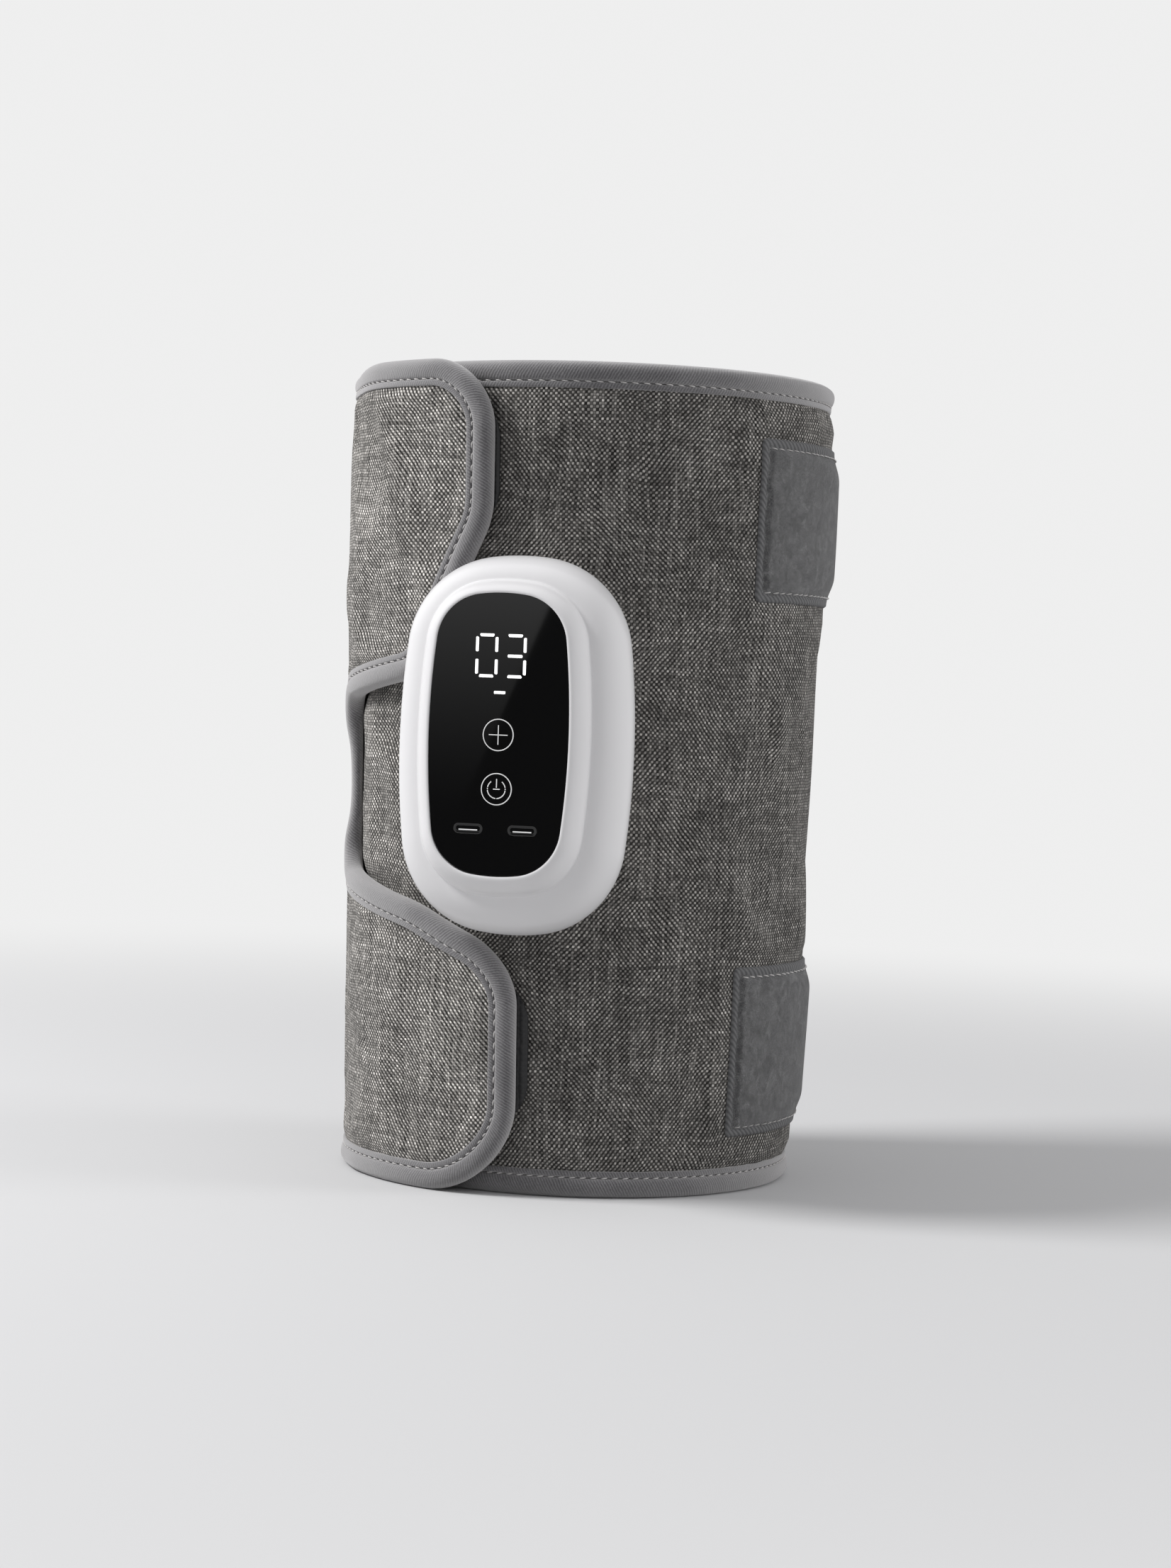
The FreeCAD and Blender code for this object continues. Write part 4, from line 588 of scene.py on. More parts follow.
FRONT_PAINTED_LIGHT, TAB_PAINTED_LIGHT, FRONT_LEAN, TAB_LEAN = 0.84, 1.36, 0.45, 0.8
COVER_COLOUR = (0.14, 0.132, 0.123)
WARP_SHADES = ((0.3, (0.026, 0.025, 0.023)), (0.5, (0.066, 0.063, 0.059)), (0.7, (0.17, 0.163, 0.153)))
WEFT_SHADES = ((0.3, (0.31, 0.296, 0.279)), (0.5, (0.46, 0.44, 0.415)), (0.7, (0.62, 0.595, 0.565)))
WARP_STREAK, WEFT_STREAK = (0.3, 1.7), (0.72, 1.28)
FLOAT_FLAT, FLOAT_ROUND, FLOAT_PAINTED_SHADE, FLOAT_TINT = 0.6, 0.4, 1.1, (0.6, 1.4)
DRIFT_SCALE, SLANT_SCALE, SLANT_NOISE, SLANT_HALF, CROSSING_HALF = 0.04, 0.03, (0.3, 0.7), 0.3, 0.2
BLOTCH_SCALE, BLOTCH_TINT, FUZZ_SCALE, FUZZ_SHARE = 60.0, (0.5, 1.5), 5200.0, 0.3

closure_centre = -sum(step * outward(seam) for seam, step in SEAM_STEPS)
closure_growth = sum(step for seam, step in SEAM_STEPS)
tab_across = np.array([np.cos(np.radians(TAB_FACING)), np.sin(np.radians(TAB_FACING))])
tab_shift = float(tab_across @ closure_centre)


def reach_angle(reach, height):
    """Angle of the closing panel at a reach to the right, from the arc sine of reach over radius."""
    radius = wrap_radius(height) + closure_growth
    return TAB_FACING + np.degrees(np.arcsin((reach - tab_shift) / radius))


def angle_reach(angle, height):
    """Reach to the right of the closing panel at an angle: radius times the sine of the angle."""
    return tab_shift + (wrap_radius(height) + closure_growth) * np.sin(np.radians(angle - TAB_FACING))


def rounded_path(corners, step):
    """Dense points along straight lines through corners of (x, y, radius), each corner turned on an arc that
    leaves the lines at radius times the tangent of half the turn. The ends have no radius."""
    knots = np.array([corner[:2] for corner in corners], float)
    pieces, last = [], knots[0]
    for before, (x, y, radius), after in zip(knots, corners[1:-1], knots[2:]):
        corner = np.array([x, y])
        into = (corner - before) / np.linalg.norm(corner - before)
        out = (after - corner) / np.linalg.norm(after - corner)
        turn = np.arctan2(into[0] * out[1] - into[1] * out[0], into @ out)
        set_back = abs(radius * np.tan(turn / 2))
        start = corner - into * set_back
        side = np.array([-into[1], into[0]]) * np.sign(turn)
        count = max(int(np.linalg.norm(start - last) / step), 1)
        pieces.append(last + (start - last) * np.linspace(0, 1, count, endpoint=False)[:, None])
        sweep = np.linspace(0, abs(turn), max(int(radius * abs(turn) / step), 3), endpoint=False)[:, None]
        pieces.append(start + radius * (np.sin(sweep) * into + (1 - np.cos(sweep)) * side))
        last = corner + out * set_back
    count = max(int(np.linalg.norm(knots[-1] - last) / step), 1)
    pieces.append(last + (knots[-1] - last) * np.linspace(0, 1, count + 1)[:, None])
    return np.concatenate(pieces)


def path_inward(path):
    """Unit direction to the right of travel: the line between neighbours, turned a quarter clockwise."""
    way = np.gradient(path, axis=0)
    way = way / np.linalg.norm(way, axis=1, keepdims=True)
    return np.stack([way[:, 1], -way[:, 0]], axis=1)


edge_start, edge_end = (angle_reach(TAB_SPLIT, height) for height in (WRAP_HEIGHT, 0.0))
waist_height = (UPPER_EDGE_CORNERS[-1][1] + LOWER_EDGE_CORNERS[0][1]) / 2
recess_reach = UPPER_EDGE_CORNERS[-1][0]
recess_middle = (recess_reach, waist_height, 0)
upper_edge = rounded_path([(edge_start, WRAP_HEIGHT, 0), *UPPER_EDGE_CORNERS, recess_middle], EDGE_STEP)
lower_edge = rounded_path([recess_middle, *LOWER_EDGE_CORNERS, (edge_end, 0, 0)], EDGE_STEP)
closure_edge = np.concatenate([upper_edge, lower_edge[1:]])


def edge_distance(reach, height):
    """Distance to the closing panel's edge: the least length to any of its dense points."""
    gaps = np.stack([reach, height], axis=-1)[..., None, :] - closure_edge
    return np.sqrt((gaps ** 2).sum(-1)).min(-1)


def creases(length, height):
    """Soft folds in the cover: each is a bell across its line that fades towards both ends."""
    relief = np.zeros(np.broadcast(length, height).shape)
    for middle, level, lean, reach, width, rise in CREASES:
        across, up = length - middle, height - level
        turn = np.radians(lean)
        along = across * np.cos(turn) + up * np.sin(turn)
        aside = up * np.cos(turn) - across * np.sin(turn)
        relief = relief + rise * np.exp(-(aside / width) ** 2 - (along / reach) ** 4)
    return relief


def ripple(length, rim):
    """Small puckers that the seam gathers: two swaying sines along the edge that die away from it."""
    wave = sum(share * np.sin(length / pitch + sway * np.sin(length / slow))
               for pitch, sway, slow, share in PUCKER_WAVES)
    return PUCKER_RISE * wave * np.exp(-np.maximum(rim - TAPE_MOUTH, 0) / PUCKER_REACH)


def fabric_depth(angle, height):
    """Depth of the cover's outer face: drawn in at the rims and easing out exponentially, shallow on the
    closing panel with a low crown away from its nearest edge, with puckers, folds and a slow unevenness
    added. The front panel swells through the closing panel's recess."""
    rim = rim_distance(height)
    body = RIM_DRAW * np.exp(-np.maximum(rim - TAPE_MOUTH, 0) / RIM_REACH)
    reach = np.where(angle > TAB_SPLIT - EDGE_SEARCH_ANGLE, angle_reach(angle, height), -FAR_AWAY)
    edge = np.minimum(np.where(angle > TAB_SPLIT, FAR_AWAY, rim), edge_distance(reach, height))
    crown = CLOSURE_CROWN * (1 - np.exp(-np.maximum(edge - TAPE_MOUTH, 0) / CLOSURE_RISE))
    closing = eased(angle, *CLOSURE_TURN)
    depth = body + (CLOSURE_COVER_DEPTH - crown - body) * closing
    length = cloth_length(angle)
    slow = UNEVEN_RISE
    for up, along in UNEVEN_WAVES:
        slow = slow * np.sin(height / up + length / along)
    slow = slow + creases(length, height)
    window = eased(angle, *WINDOW_ANGLES[:2]) * (1 - eased(angle, *WINDOW_ANGLES[2:]))
    window = window * eased(height, *WINDOW_HEIGHTS[:2]) * (1 - eased(height, *WINDOW_HEIGHTS[2:]))
    relief = ripple(length, rim) + slow * eased(rim, *UNEVEN_START)
    return depth - WINDOW_BULGE * window - relief * (1 - CLOSURE_CALM * closing)


def free_front(angle, height):
    """Share of the front cover that is free to move: none under the tape, the controller, the loop patches
    and the tabs, and all of it a few millimetres away from them."""
    across = wrap_radius(height) * np.sin(np.radians(np.clip(angle, -90, 90)))
    free = eased(rim_distance(height), *FREE_OF_TAPE) * eased(RIGHT_SPLIT - angle, *FREE_OF_SPLIT)
    foot = np.maximum(np.abs(across) - FOOT_HALF[0], np.abs(height - CONTROLLER_HEIGHT) - FOOT_HALF[1])
    free = free * eased(foot, *FREE_OF_FOOT)
    for low, high in LOOP_HEIGHTS.values():
        beyond = np.abs(height - (low + high) / 2) - (high - low) / 2
        beside = np.maximum((LOOP_ANGLES[0] - angle) * DEGREE_LENGTH, beyond)
        free = free * eased(beside, *FREE_OF_PATCH)
    reach = angle_reach(angle + 360, height) - np.interp(height, closure_edge[::-1, 1], closure_edge[::-1, 0])
    return free * eased(reach, *FREE_OF_TABS)


def free_closure(angle, height):
    """Share of the closing panel that is free to move: none at its tape and where its pieces meet."""
    edge = edge_distance(angle_reach(np.maximum(angle, TAB_SPLIT - EDGE_SEARCH_ANGLE), height), height)
    free = eased(np.minimum(edge, rim_distance(height)), *FREE_OF_EDGE)
    free = free * eased(np.abs(angle - TAB_SPLIT), *FREE_OF_TAB_SPLIT)
    return free * eased(angle - LEFT_SPLIT, *FREE_OF_SPLIT)


def settled(angle, height, depth, free):
    """How far a sewn sheet moves outwards when it is let go. It is cloth cut a little too long, held where it
    isn't free, and pressed out by the padding for twenty frames. The movement outwards is averaged with its
    neighbours, capped, and fades with the free share."""
    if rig.quick():
        return np.zeros(angle.shape)
    points, faces = surface(wrap_point(angle, height, depth))[:2]
    mesh = bpy.data.meshes.new("settling sheet")
    mesh.from_pydata((points * MILLIMETRE).tolist(), [], faces.tolist())
    sheet = bpy.data.objects.new("settling sheet", mesh)
    bpy.context.scene.collection.objects.link(sheet)
    held = np.flatnonzero(free.ravel() < HELD_SHARE).tolist()
    sheet.vertex_groups.new(name="held").add(held, 1.0, "REPLACE")
    cloth = sheet.modifiers.new("cloth", "CLOTH")
    cloth.point_cache.frame_start, cloth.point_cache.frame_end = 1, CLOTH_FRAMES
    cloth.settings.vertex_group_mass = "held"
    cloth.settings.quality = CLOTH_QUALITY
    cloth.settings.mass = CLOTH_MASS
    cloth.settings.shrink_min = -CLOTH_SLACK
    cloth.settings.bending_stiffness = CLOTH_BENDING
    cloth.settings.use_pressure = True
    cloth.settings.uniform_pressure_force = CLOTH_PRESSURE
    cloth.settings.effector_weights.gravity = 0
    for moment in range(1, CLOTH_FRAMES + 1):
        bpy.context.scene.frame_set(moment)
    settled_mesh = sheet.evaluated_get(bpy.context.evaluated_depsgraph_get()).data
    places = np.empty(len(points) * 3, np.float32)
    settled_mesh.vertices.foreach_get("co", places)
    bpy.data.objects.remove(sheet)
    bpy.data.meshes.remove(mesh)
    bpy.context.scene.frame_set(1)
    moved = (places.reshape(-1, 3) / MILLIMETRE - points)[:, :2].reshape(angle.shape + (2,))
    moved = (moved * outward(angle)).sum(-1)
    for axis in (0, 1):
        moved = (np.roll(moved, 1, axis) + 2 * moved + np.roll(moved, -1, axis)) / 4
    return np.clip(moved, *CLOTH_CAP) * free


def mixed(finish, share, first, second, blend="MIX"):
    """Colour mixed from two by a share, in one of the usual blends."""
    return node_out(finish, "Mix", {0: share, 6: first, 7: second}, 2, data_type="RGBA", blend_type=blend)


def weave_finish():
    """Plain weave on the cloth lengths, more strongly slanted towards the tabs, with painted light: it is
    painted lighter towards the tabs and over the front panel's left end, and darker on the rest of the front,
    where the key lamp from the left falls. Warp lies on top where the sum of the cosines along both diagonals
    is above zero, and weft where it is below. Slow noise and the lean make one diagonal stronger than the
    other. Each yarn keeps a shade along its length from noise on its number, which shows as a streak, each
    float has a little shade of its own, and a float rises as the root of the cosine across its yarn. The
    colour is multiplied by that height, which paints shade in the gaps between yarns."""
    finish = new_finish("weave fabric", COVER_COLOUR, 0.9, Sheen_Weight=0.05, Specular_IOR_Level=0.2)
    place = cloth_place(finish)
    drift = noise(finish, place, DRIFT_SCALE, output="Color")
    drift = node_out(finish, "VectorMath", {0: drift, 1: (0.5, 0.5, 0.5)}, operation="SUBTRACT")
    drift = node_out(finish, "VectorMath", {0: drift, "Scale": YARN_DRIFT}, operation="SCALE")
    place = node_out(finish, "VectorMath", {0: place, 1: drift}, operation="ADD")
    parts = node_out(finish, "SeparateXYZ", {0: place}).node.outputs
    counts = [maths(finish, "DIVIDE", parts[axis], pitch) for axis, pitch in enumerate(YARN_PITCHES)]
    numbers = [maths(finish, "ROUND", count) for count in counts]
    turns = [maths(finish, "MULTIPLY", count, np.pi) for count in counts]
    diagonals = [maths(finish, "COSINE", maths(finish, way, *turns)) for way in ("ADD", "SUBTRACT")]
    tabs_share_for_slant_and_painted_light = spread(finish, parts[0], 0.0, 1.0, *cloth_length(np.array(TAB_TURN)), "SMOOTHSTEP")
    painted_light_left_end = spread(finish, parts[0], 0.0, 1.0, *cloth_length(np.array(LEFT_PAINTED_LIGHT_TURN)))
    slant = spread(finish, noise(finish, place, SLANT_SCALE, 1.0), -SLANT_HALF, SLANT_HALF, *SLANT_NOISE)
    slant = maths(finish, "ADD", slant, spread(finish, tabs_share_for_slant_and_painted_light, FRONT_LEAN, TAB_LEAN))
    sign = maths(finish, "ADD", maths(finish, "MULTIPLY", diagonals[0], slant),
                 maths(finish, "MULTIPLY", diagonals[1], maths(finish, "SUBTRACT", 1.0, slant)))
    top = spread(finish, sign, 0.0, 1.0, -CROSSING_HALF, CROSSING_HALF, "SMOOTHSTEP")
    tones, shares = [], []
    for number, length, stops, streak in ((numbers[0], counts[1], WARP_SHADES, WARP_STREAK),
                                          (numbers[1], counts[0], WEFT_SHADES, WEFT_STREAK)):
        spot = node_out(finish, "CombineXYZ", {0: maths(finish, "MULTIPLY", number, YARN_APART),
                                               1: maths(finish, "MULTIPLY", length, YARN_CHANGE)})
        tint = noise(finish, spot, 1.0, 4.0, 0.7)
        tones.append(shades(finish, tint, *stops))
        shares.append(spread(finish, tint, *streak))
    cell = node_out(finish, "CombineXYZ", dict(enumerate(numbers)))
    own = node_out(finish, "TexWhiteNoise", {"Vector": cell}, "Value", noise_dimensions="2D")
    shares.append(spread(finish, own, *FLOAT_TINT))
    shares.append(spread(finish, object_noise(finish, BLOTCH_SCALE, 3.0, 0.6), *BLOTCH_TINT))
    # Painted light: the tabs and the front panel's left end are painted lighter and the rest of the front darker,
    # where the key lamp from the left falls.
    shares.append(spread(finish, maths(finish, "MAXIMUM", tabs_share_for_slant_and_painted_light, painted_light_left_end), FRONT_PAINTED_LIGHT, TAB_PAINTED_LIGHT))
    sides = [maths(finish, "ABSOLUTE", maths(finish, "COSINE", turn)) for turn in turns]
    floats = [maths(finish, "MULTIPLY", maths(finish, "SQRT", side),
                    maths(finish, "MULTIPLY_ADD", other, FLOAT_ROUND, FLOAT_FLAT))
              for side, other in zip(sides, reversed(sides))]
    height = node_out(finish, "Mix", {0: top, 2: floats[1], 3: floats[0]})
    # Painted shade: the colour is multiplied by the float's height, so the gaps between yarns are painted darker.
    shade = maths(finish, "MULTIPLY", height, FLOAT_PAINTED_SHADE)
    for share in shares:
        shade = maths(finish, "MULTIPLY", shade, share)
    feed(finish, "Base Color", mixed(finish, 1.0, mixed(finish, top, tones[1], tones[0]), shade, "MULTIPLY"))
    fuzz = object_noise(finish, FUZZ_SCALE)
    bump(finish, maths(finish, "MULTIPLY_ADD", fuzz, FUZZ_SHARE, height), 0.6, 0.2)
    return finish


weave_fabric = weave_finish()
cover_heights = np.linspace(RIM_CLOTH, WRAP_HEIGHT - RIM_CLOTH, 110)
for name, start, end, node in (("front_fabric", FRONT_START, RIGHT_SPLIT, "front_cover"),
                               ("right_fabric", RIGHT_SPLIT, LEFT_SPLIT, "back_cover")):
    grid = np.meshgrid(wrap_angles(start, end), cover_heights)
    depth = fabric_depth(*grid)
    if end == RIGHT_SPLIT:
        depth = depth - settled(*grid, depth, free_front(*grid))
    cover = make_piece(name, [slab(*grid, depth, depth + COVER_THICKNESS)], weave_fabric)
    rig.padded(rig.replaces(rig.slot(carry(cover, start), "weave_fabric"), node), 0.7)


def tab_grid(low_edge, high_edge):
    """Angles and heights of the cloth past the tab split, between a lower and an upper edge given as points
    of reach and height. Strip columns run from the split to the recess, the others lie at even cosines of
    reach."""
    recess = max(low_edge[:, 0].min(), high_edge[:, 0].min(), recess_reach - TAB_CLOTH_INSET)
    tip = high_edge[:, 0].max()
    strip = np.linspace(0, 1, STRIP_CELLS, endpoint=False)
    reach = (recess + tip) / 2 - (tip - recess) / 2 * np.cos(np.linspace(0, np.pi, TAB_CELLS))
    low, high = (np.interp(reach, *edge.T) for edge in (low_edge, high_edge))
    low, high = (np.concatenate([np.full(STRIP_CELLS, side[0]), side]) for side in (low, high))
    height = low + np.linspace(0, 1, TAB_CELLS)[:, None] * (high - low)
    split = TAB_SPLIT + strip * (reach_angle(recess, height[:, :STRIP_CELLS]) - TAB_SPLIT)
    return np.concatenate([split, reach_angle(reach, height[:, STRIP_CELLS:])], axis=1), height


def tab_edges(edge):
    """The two sides of a tab's cloth, each in order of reach: its edge moved in by the inset, cut at the
    tip."""
    inset = edge + TAB_CLOTH_INSET * path_inward(edge)
    at_tip = np.flatnonzero(inset[:, 0] > inset[:, 0].max() - SAME_PLACE)
    at_recess = np.flatnonzero(np.abs(inset[:, 0] - recess_reach + TAB_CLOTH_INSET) < SAME_PLACE)
    sides = inset[:at_tip[0] + 1], inset[at_tip[-1]:]
    if at_recess[0] > at_tip[0]:
        return sides[0], sides[1][:at_recess[0] - at_tip[-1] + 1][::-1]
    return sides[1][::-1], sides[0][at_recess[-1]:]


upper_high, upper_low = tab_edges(upper_edge)
lower_low, lower_high = tab_edges(lower_edge)
waist_heights = np.linspace(lower_high[0, 1], upper_low[0, 1], 30)[:, None]
recess_angle = reach_angle(recess_reach - TAB_CLOTH_INSET, waist_heights)
waist_angle = TAB_SPLIT + np.linspace(0, 1, STRIP_CELLS + 1) * (recess_angle - TAB_SPLIT)
waist_grid = waist_angle, np.broadcast_to(waist_heights, waist_angle.shape)
left_grid = np.meshgrid(wrap_angles(LEFT_SPLIT, TAB_SPLIT), cover_heights)
left_depth = fabric_depth(*left_grid)
left_depth = left_depth - settled(*left_grid, left_depth, free_closure(*left_grid))
waist_depth = fabric_depth(*waist_grid)
left_fabric = make_piece("left_fabric", [
    slab(*left_grid, left_depth, left_depth + COVER_THICKNESS),
    slab(*waist_grid, waist_depth, waist_depth + COVER_THICKNESS)], weave_fabric)
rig.padded(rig.replaces(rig.slot(carry(left_fabric, LEFT_SPLIT), "weave_fabric"), "closure_cover"), 0.5)

for name, low_edge, high_edge in (("upper", upper_low, upper_high), ("lower", lower_low, lower_high)):
    grid = tab_grid(low_edge, high_edge)
    depth = fabric_depth(*grid)
    depth = depth - settled(*grid, depth, free_closure(*grid))
    inside = np.repeat((0, 1), TAB_CELLS)
    tab_cloth = slab(*grid, depth, CLOSURE_COVER_DEPTH + TAB_THICKNESS, inside)
    tab = make_piece(f"{name}_tab_fabric", [tab_cloth], weave_fabric, lining_knit)
    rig.blend(tab, "closure", f"{name}_flap", *fold_line(*TAB_FOLD))
    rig.padded(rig.replaces(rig.slot(tab, "weave_fabric"), f"{name}_tab"), 0.5)

# Binding tape: soft ribbed velour folded over every raw edge of the wrap and sewn down with one row of pale
# thread. It bulges between its fold and the stitching, and ends in a flat selvage.

TAPE_MIDDLE, TAPE_HALF = 4.1, 2.8
CLOSURE_TAPE_MIDDLE, CLOSURE_TAPE_HALF = 2.55, 2.5
END_TAPE_MIDDLE, END_TAPE_HALF, END_TAPE_ANGLE, END_THIN = 4.9, 4.4, -88.0, (2.0, 16.0)
END_TAPE_MARGIN, END_STITCH_MARGIN, TAPE_TUCK_ANGLE = 3.0, 6.0, 0.6
# The tape's section from its outer selvage over the fold: distance from the fold, share of half the
# thickness.
TAPE_SECTION = ((7.9, -0.72), (7.8, -0.93), (7.4, -1.0), (6.7, -1.01), (6.25, -0.95), (5.95, -0.66),
                (5.65, -0.93), (5.2, -1.10), (4.2, -1.22), (3.0, -1.25), (2.0, -1.17), (1.1, -0.97),
                (0.45, -0.66), (0.1, -0.32), (0.0, 0.0), (0.1, 0.34), (0.45, 0.68), (1.1, 0.93), (2.2, 1.03),
                (4.0, 1.04), (5.5, 0.98), (5.95, 0.84), (6.3, 0.97), (7.4, 0.98), (7.8, 0.92), (7.9, 0.72))
TAPE_SWELL, SWELL_LENGTH, SWELL_SWAY, SWAY_LENGTH, BULGE_END, BULGE_FADE = 0.035, 4.1, 1.7, 13.0, 6.0, 3.0
RECESS_LAP, TAPE_LAP, LAP_DRAW, LAP_THIN, WAIST_FLAT = 6.0, 2.0, 0.4, 0.15, 0.4
RIM_TAPE_STEP, EDGE_TAPE_STEP = 1.6, 1.3
# Travel along a rim is counted from this far before the front.
TRAVEL_START = 200.0
STITCH_ROW, STITCH_DEPTH, STITCH_LIFT, STITCH_SLANT = 5.95, 0.84, 0.35, 0.12
STITCH_PITCH, STITCH_LENGTH, THREAD_RADIUS, THREAD_TAPER = 3.3, 2.1, 0.22, 0.92
VELOUR_COLOUR, VELOUR_PAINTED_SHEEN_COLOUR = (0.165, 0.161, 0.167), (0.55, 0.537, 0.54)
THREAD_COLOUR = (0.60, 0.585, 0.575)
RIB_PITCH, RIB_LEAN = 0.8, 0.5


def smooth_line(knots, count):
    """Points on a curve through knots: each span blends its ends by a cubic whose slopes are half the way
    between the neighbouring knots."""
    knots = np.asarray(knots, float)
    slopes = np.gradient(knots, axis=0)
    place = np.linspace(0, len(knots) - 1, count)
    span = np.minimum(place.astype(int), len(knots) - 2)
    share = (place - span)[:, None]
    first, last = knots[span], knots[span + 1]
    return (first * (1 + 2 * share) * (1 - share) ** 2 + slopes[span] * share * (1 - share) ** 2
            + last * share ** 2 * (3 - 2 * share) + slopes[span + 1] * share ** 2 * (share - 1))


tape_section = smooth_line(TAPE_SECTION, 76)
tape_across = np.r_[0, np.cumsum(np.linalg.norm(np.diff(tape_section * (1, TAPE_HALF), axis=0), axis=1))]


def tape_surface(place, travel, lap=0.0):
    """A tape along a path: its section's distance from the fold and its depth at every place of travel. Its
    bulge swells and sinks a little along the way. Over a lap at each end it thins, to lie inside the next
    tape."""
    inward, side, travel = tape_section[:, :1], tape_section[:, 1:], close_ends(travel)
    wave = np.sin(travel / SWELL_LENGTH + SWELL_SWAY * np.sin(travel / SWAY_LENGTH))
    swell = 1 + TAPE_SWELL * wave * eased(BULGE_END - inward, 0, BULGE_FADE)
    inner = 1 - eased(np.minimum(travel - travel[0], travel[-1] - travel), 0, lap) if lap else 0 * travel
    side = side * swell * (1 - LAP_THIN * inner)
    points = place(*np.broadcast_arrays(travel[None, :], inward + LAP_DRAW * inner, side))
    return surface(points, (travel[None, :], tape_across[:, None]), 0, ring=True, capped=True)


def stitches(place, start, end, side, finish=1):
    """A row of short thread arcs in the tape's groove: a round section whose radius tapers to both ends."""
    middles = np.arange(start + STITCH_PITCH / 2, end, STITCH_PITCH)[:, None, None]
    along = np.linspace(-1, 1, 6)[None, None, :]
    turn = np.linspace(0, 2 * np.pi, 7)[:-1][None, :, None]
    radius = THREAD_RADIUS * np.sqrt(1 - THREAD_TAPER * along ** 4)
    lift = STITCH_LIFT * (1 - along ** 2) + radius * np.sin(turn)
    inward = STITCH_ROW + radius * np.cos(turn) + STITCH_SLANT * along
    share = np.sign(side) * (STITCH_DEPTH + lift / TAPE_HALF)
    travel = middles + along * STITCH_LENGTH / 2
    points = place(*np.broadcast_arrays(travel, inward, share))
    points = points if side < 0 else points[:, ::-1]
    return surface(points, (travel, inward), finish, ring=True)


def sewn_tape(name, place, travel, start, end, lap=0.0):
    """A tape with a row of stitches on its outer and on its inner face."""
    rows = [stitches(place, start, end, side) for side in (-1, 1)]
    return make_piece(name, [tape_surface(place, travel, lap), *rows], binding_velour, thread)


def rim_place(at_top):
    """Places the rim's tape: travel is cloth length, and depth eases from the padded wrap's to the closing
    panel's."""
    turns = np.linspace(-100, 400, 2001)
    lengths = cloth_length(turns) + TRAVEL_START

    def place(travel, inward, side):
        angle = np.interp(travel, lengths, turns)
        closing = eased(angle, *CLOSURE_TURN)
        middle = TAPE_MIDDLE + (CLOSURE_TAPE_MIDDLE - TAPE_MIDDLE) * closing
        half = TAPE_HALF + (CLOSURE_TAPE_HALF - TAPE_HALF) * closing
        return wrap_point(angle, WRAP_HEIGHT - inward if at_top else inward, middle + side * half)
    return place


def weighted(finish, *terms):
    """Sum of outputs, each times its share."""
    total = 0.0
    for output, share in terms:
        total = maths(finish, "MULTIPLY_ADD", output, share, total)
    return total


binding_velour = new_finish("binding velour", VELOUR_COLOUR, 0.9, Sheen_Weight=0.5, Specular_IOR_Level=0.2)
velour_turned = node_out(binding_velour, "Mapping", {"Vector": cloth_place(binding_velour),
                                                     "Rotation": (0, 0, RIB_LEAN)})
velour_ribs = ribs(binding_velour, velour_turned, RIB_PITCH, {"Distortion": 2.5, "Detail": 2.0})
velour_fuzz = object_noise(binding_velour, 1900.0, 4.0, 0.75)
velour_tone = weighted(binding_velour, (object_noise(binding_velour, 90.0), 0.2), (velour_fuzz, 0.55),
                       (velour_ribs, 0.25))
velour_shade = shades(binding_velour, velour_tone, (0.25, (0.08, 0.078, 0.081)), (0.5, VELOUR_COLOUR),
                      (0.75, (0.30, 0.294, 0.30)))
# Painted sheen: the colour turns to a pale tone where the tape faces away from the view, a painted highlight along the
# tape's edges.
velour_painted_sheen_share = node_out(binding_velour, "LayerWeight", {"Blend": 0.36}, "Facing")
feed(binding_velour, "Base Color", mixed(binding_velour, velour_painted_sheen_share, velour_shade, (*VELOUR_PAINTED_SHEEN_COLOUR, 1)))
bump(binding_velour, velour_tone, 0.75, 0.3)
thread = new_finish("stitching thread", THREAD_COLOUR, 0.7)
bump(thread, object_noise(thread, 6000.0), 0.4, 0.1)

for rim, at_top in (("top", True), ("bottom", False)):
    for name, start, end, node in (("front", END_TAPE_ANGLE + TAPE_TUCK_ANGLE, RIGHT_SPLIT, "front"),
                                   ("right", RIGHT_SPLIT, LEFT_SPLIT, "back"),
                                   ("left", LEFT_SPLIT, TAB_SPLIT, "closure")):
        first, last = (cloth_length(angle) + TRAVEL_START for angle in (start, end))
        travel = np.linspace(first, last, int((last - first) / RIM_TAPE_STEP))
        travel = travel if at_top else travel[::-1]
        tape = sewn_tape(f"{name}_{rim}_tape", rim_place(at_top), travel, first, last)
        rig.replaces(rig.slot(carry(tape, start), "binding_velour"), f"{node}_{rim}_binding")


def end_place(travel, inward, side):
    """Places the end tape up the front panel's hidden end, thinner towards the rims."""
    thin = eased(rim_distance(travel), *END_THIN)
    half = TAPE_HALF + (END_TAPE_HALF - TAPE_HALF) * thin
    middle = TAPE_MIDDLE + (END_TAPE_MIDDLE - TAPE_MIDDLE) * thin
    return wrap_point(END_TAPE_ANGLE + np.degrees(inward / TOP_RADIUS), travel, middle + side * half)


end_travel = np.linspace(END_TAPE_MARGIN, WRAP_HEIGHT - END_TAPE_MARGIN, 120)
end_stitches = stitches(end_place, END_STITCH_MARGIN, WRAP_HEIGHT - END_STITCH_MARGIN, -1)
end_tape = make_piece("front_end_tape", [tape_surface(end_place, end_travel), end_stitches],
                      binding_velour, thread)
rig.replaces(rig.slot(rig.ride(end_tape, "front"), "binding_velour"), "front_end_binding")

edge_radius = wrap_radius(closure_edge[:, 1]) + closure_growth
edge_along = np.radians(reach_angle(*closure_edge.T) - TAB_FACING) * edge_radius
edge_ground = np.stack([edge_along, closure_edge[:, 1]], axis=1)
edge_inward = path_inward(edge_ground)
edge_travel = np.r_[0, np.cumsum(np.linalg.norm(np.diff(edge_ground, axis=0), axis=1))]


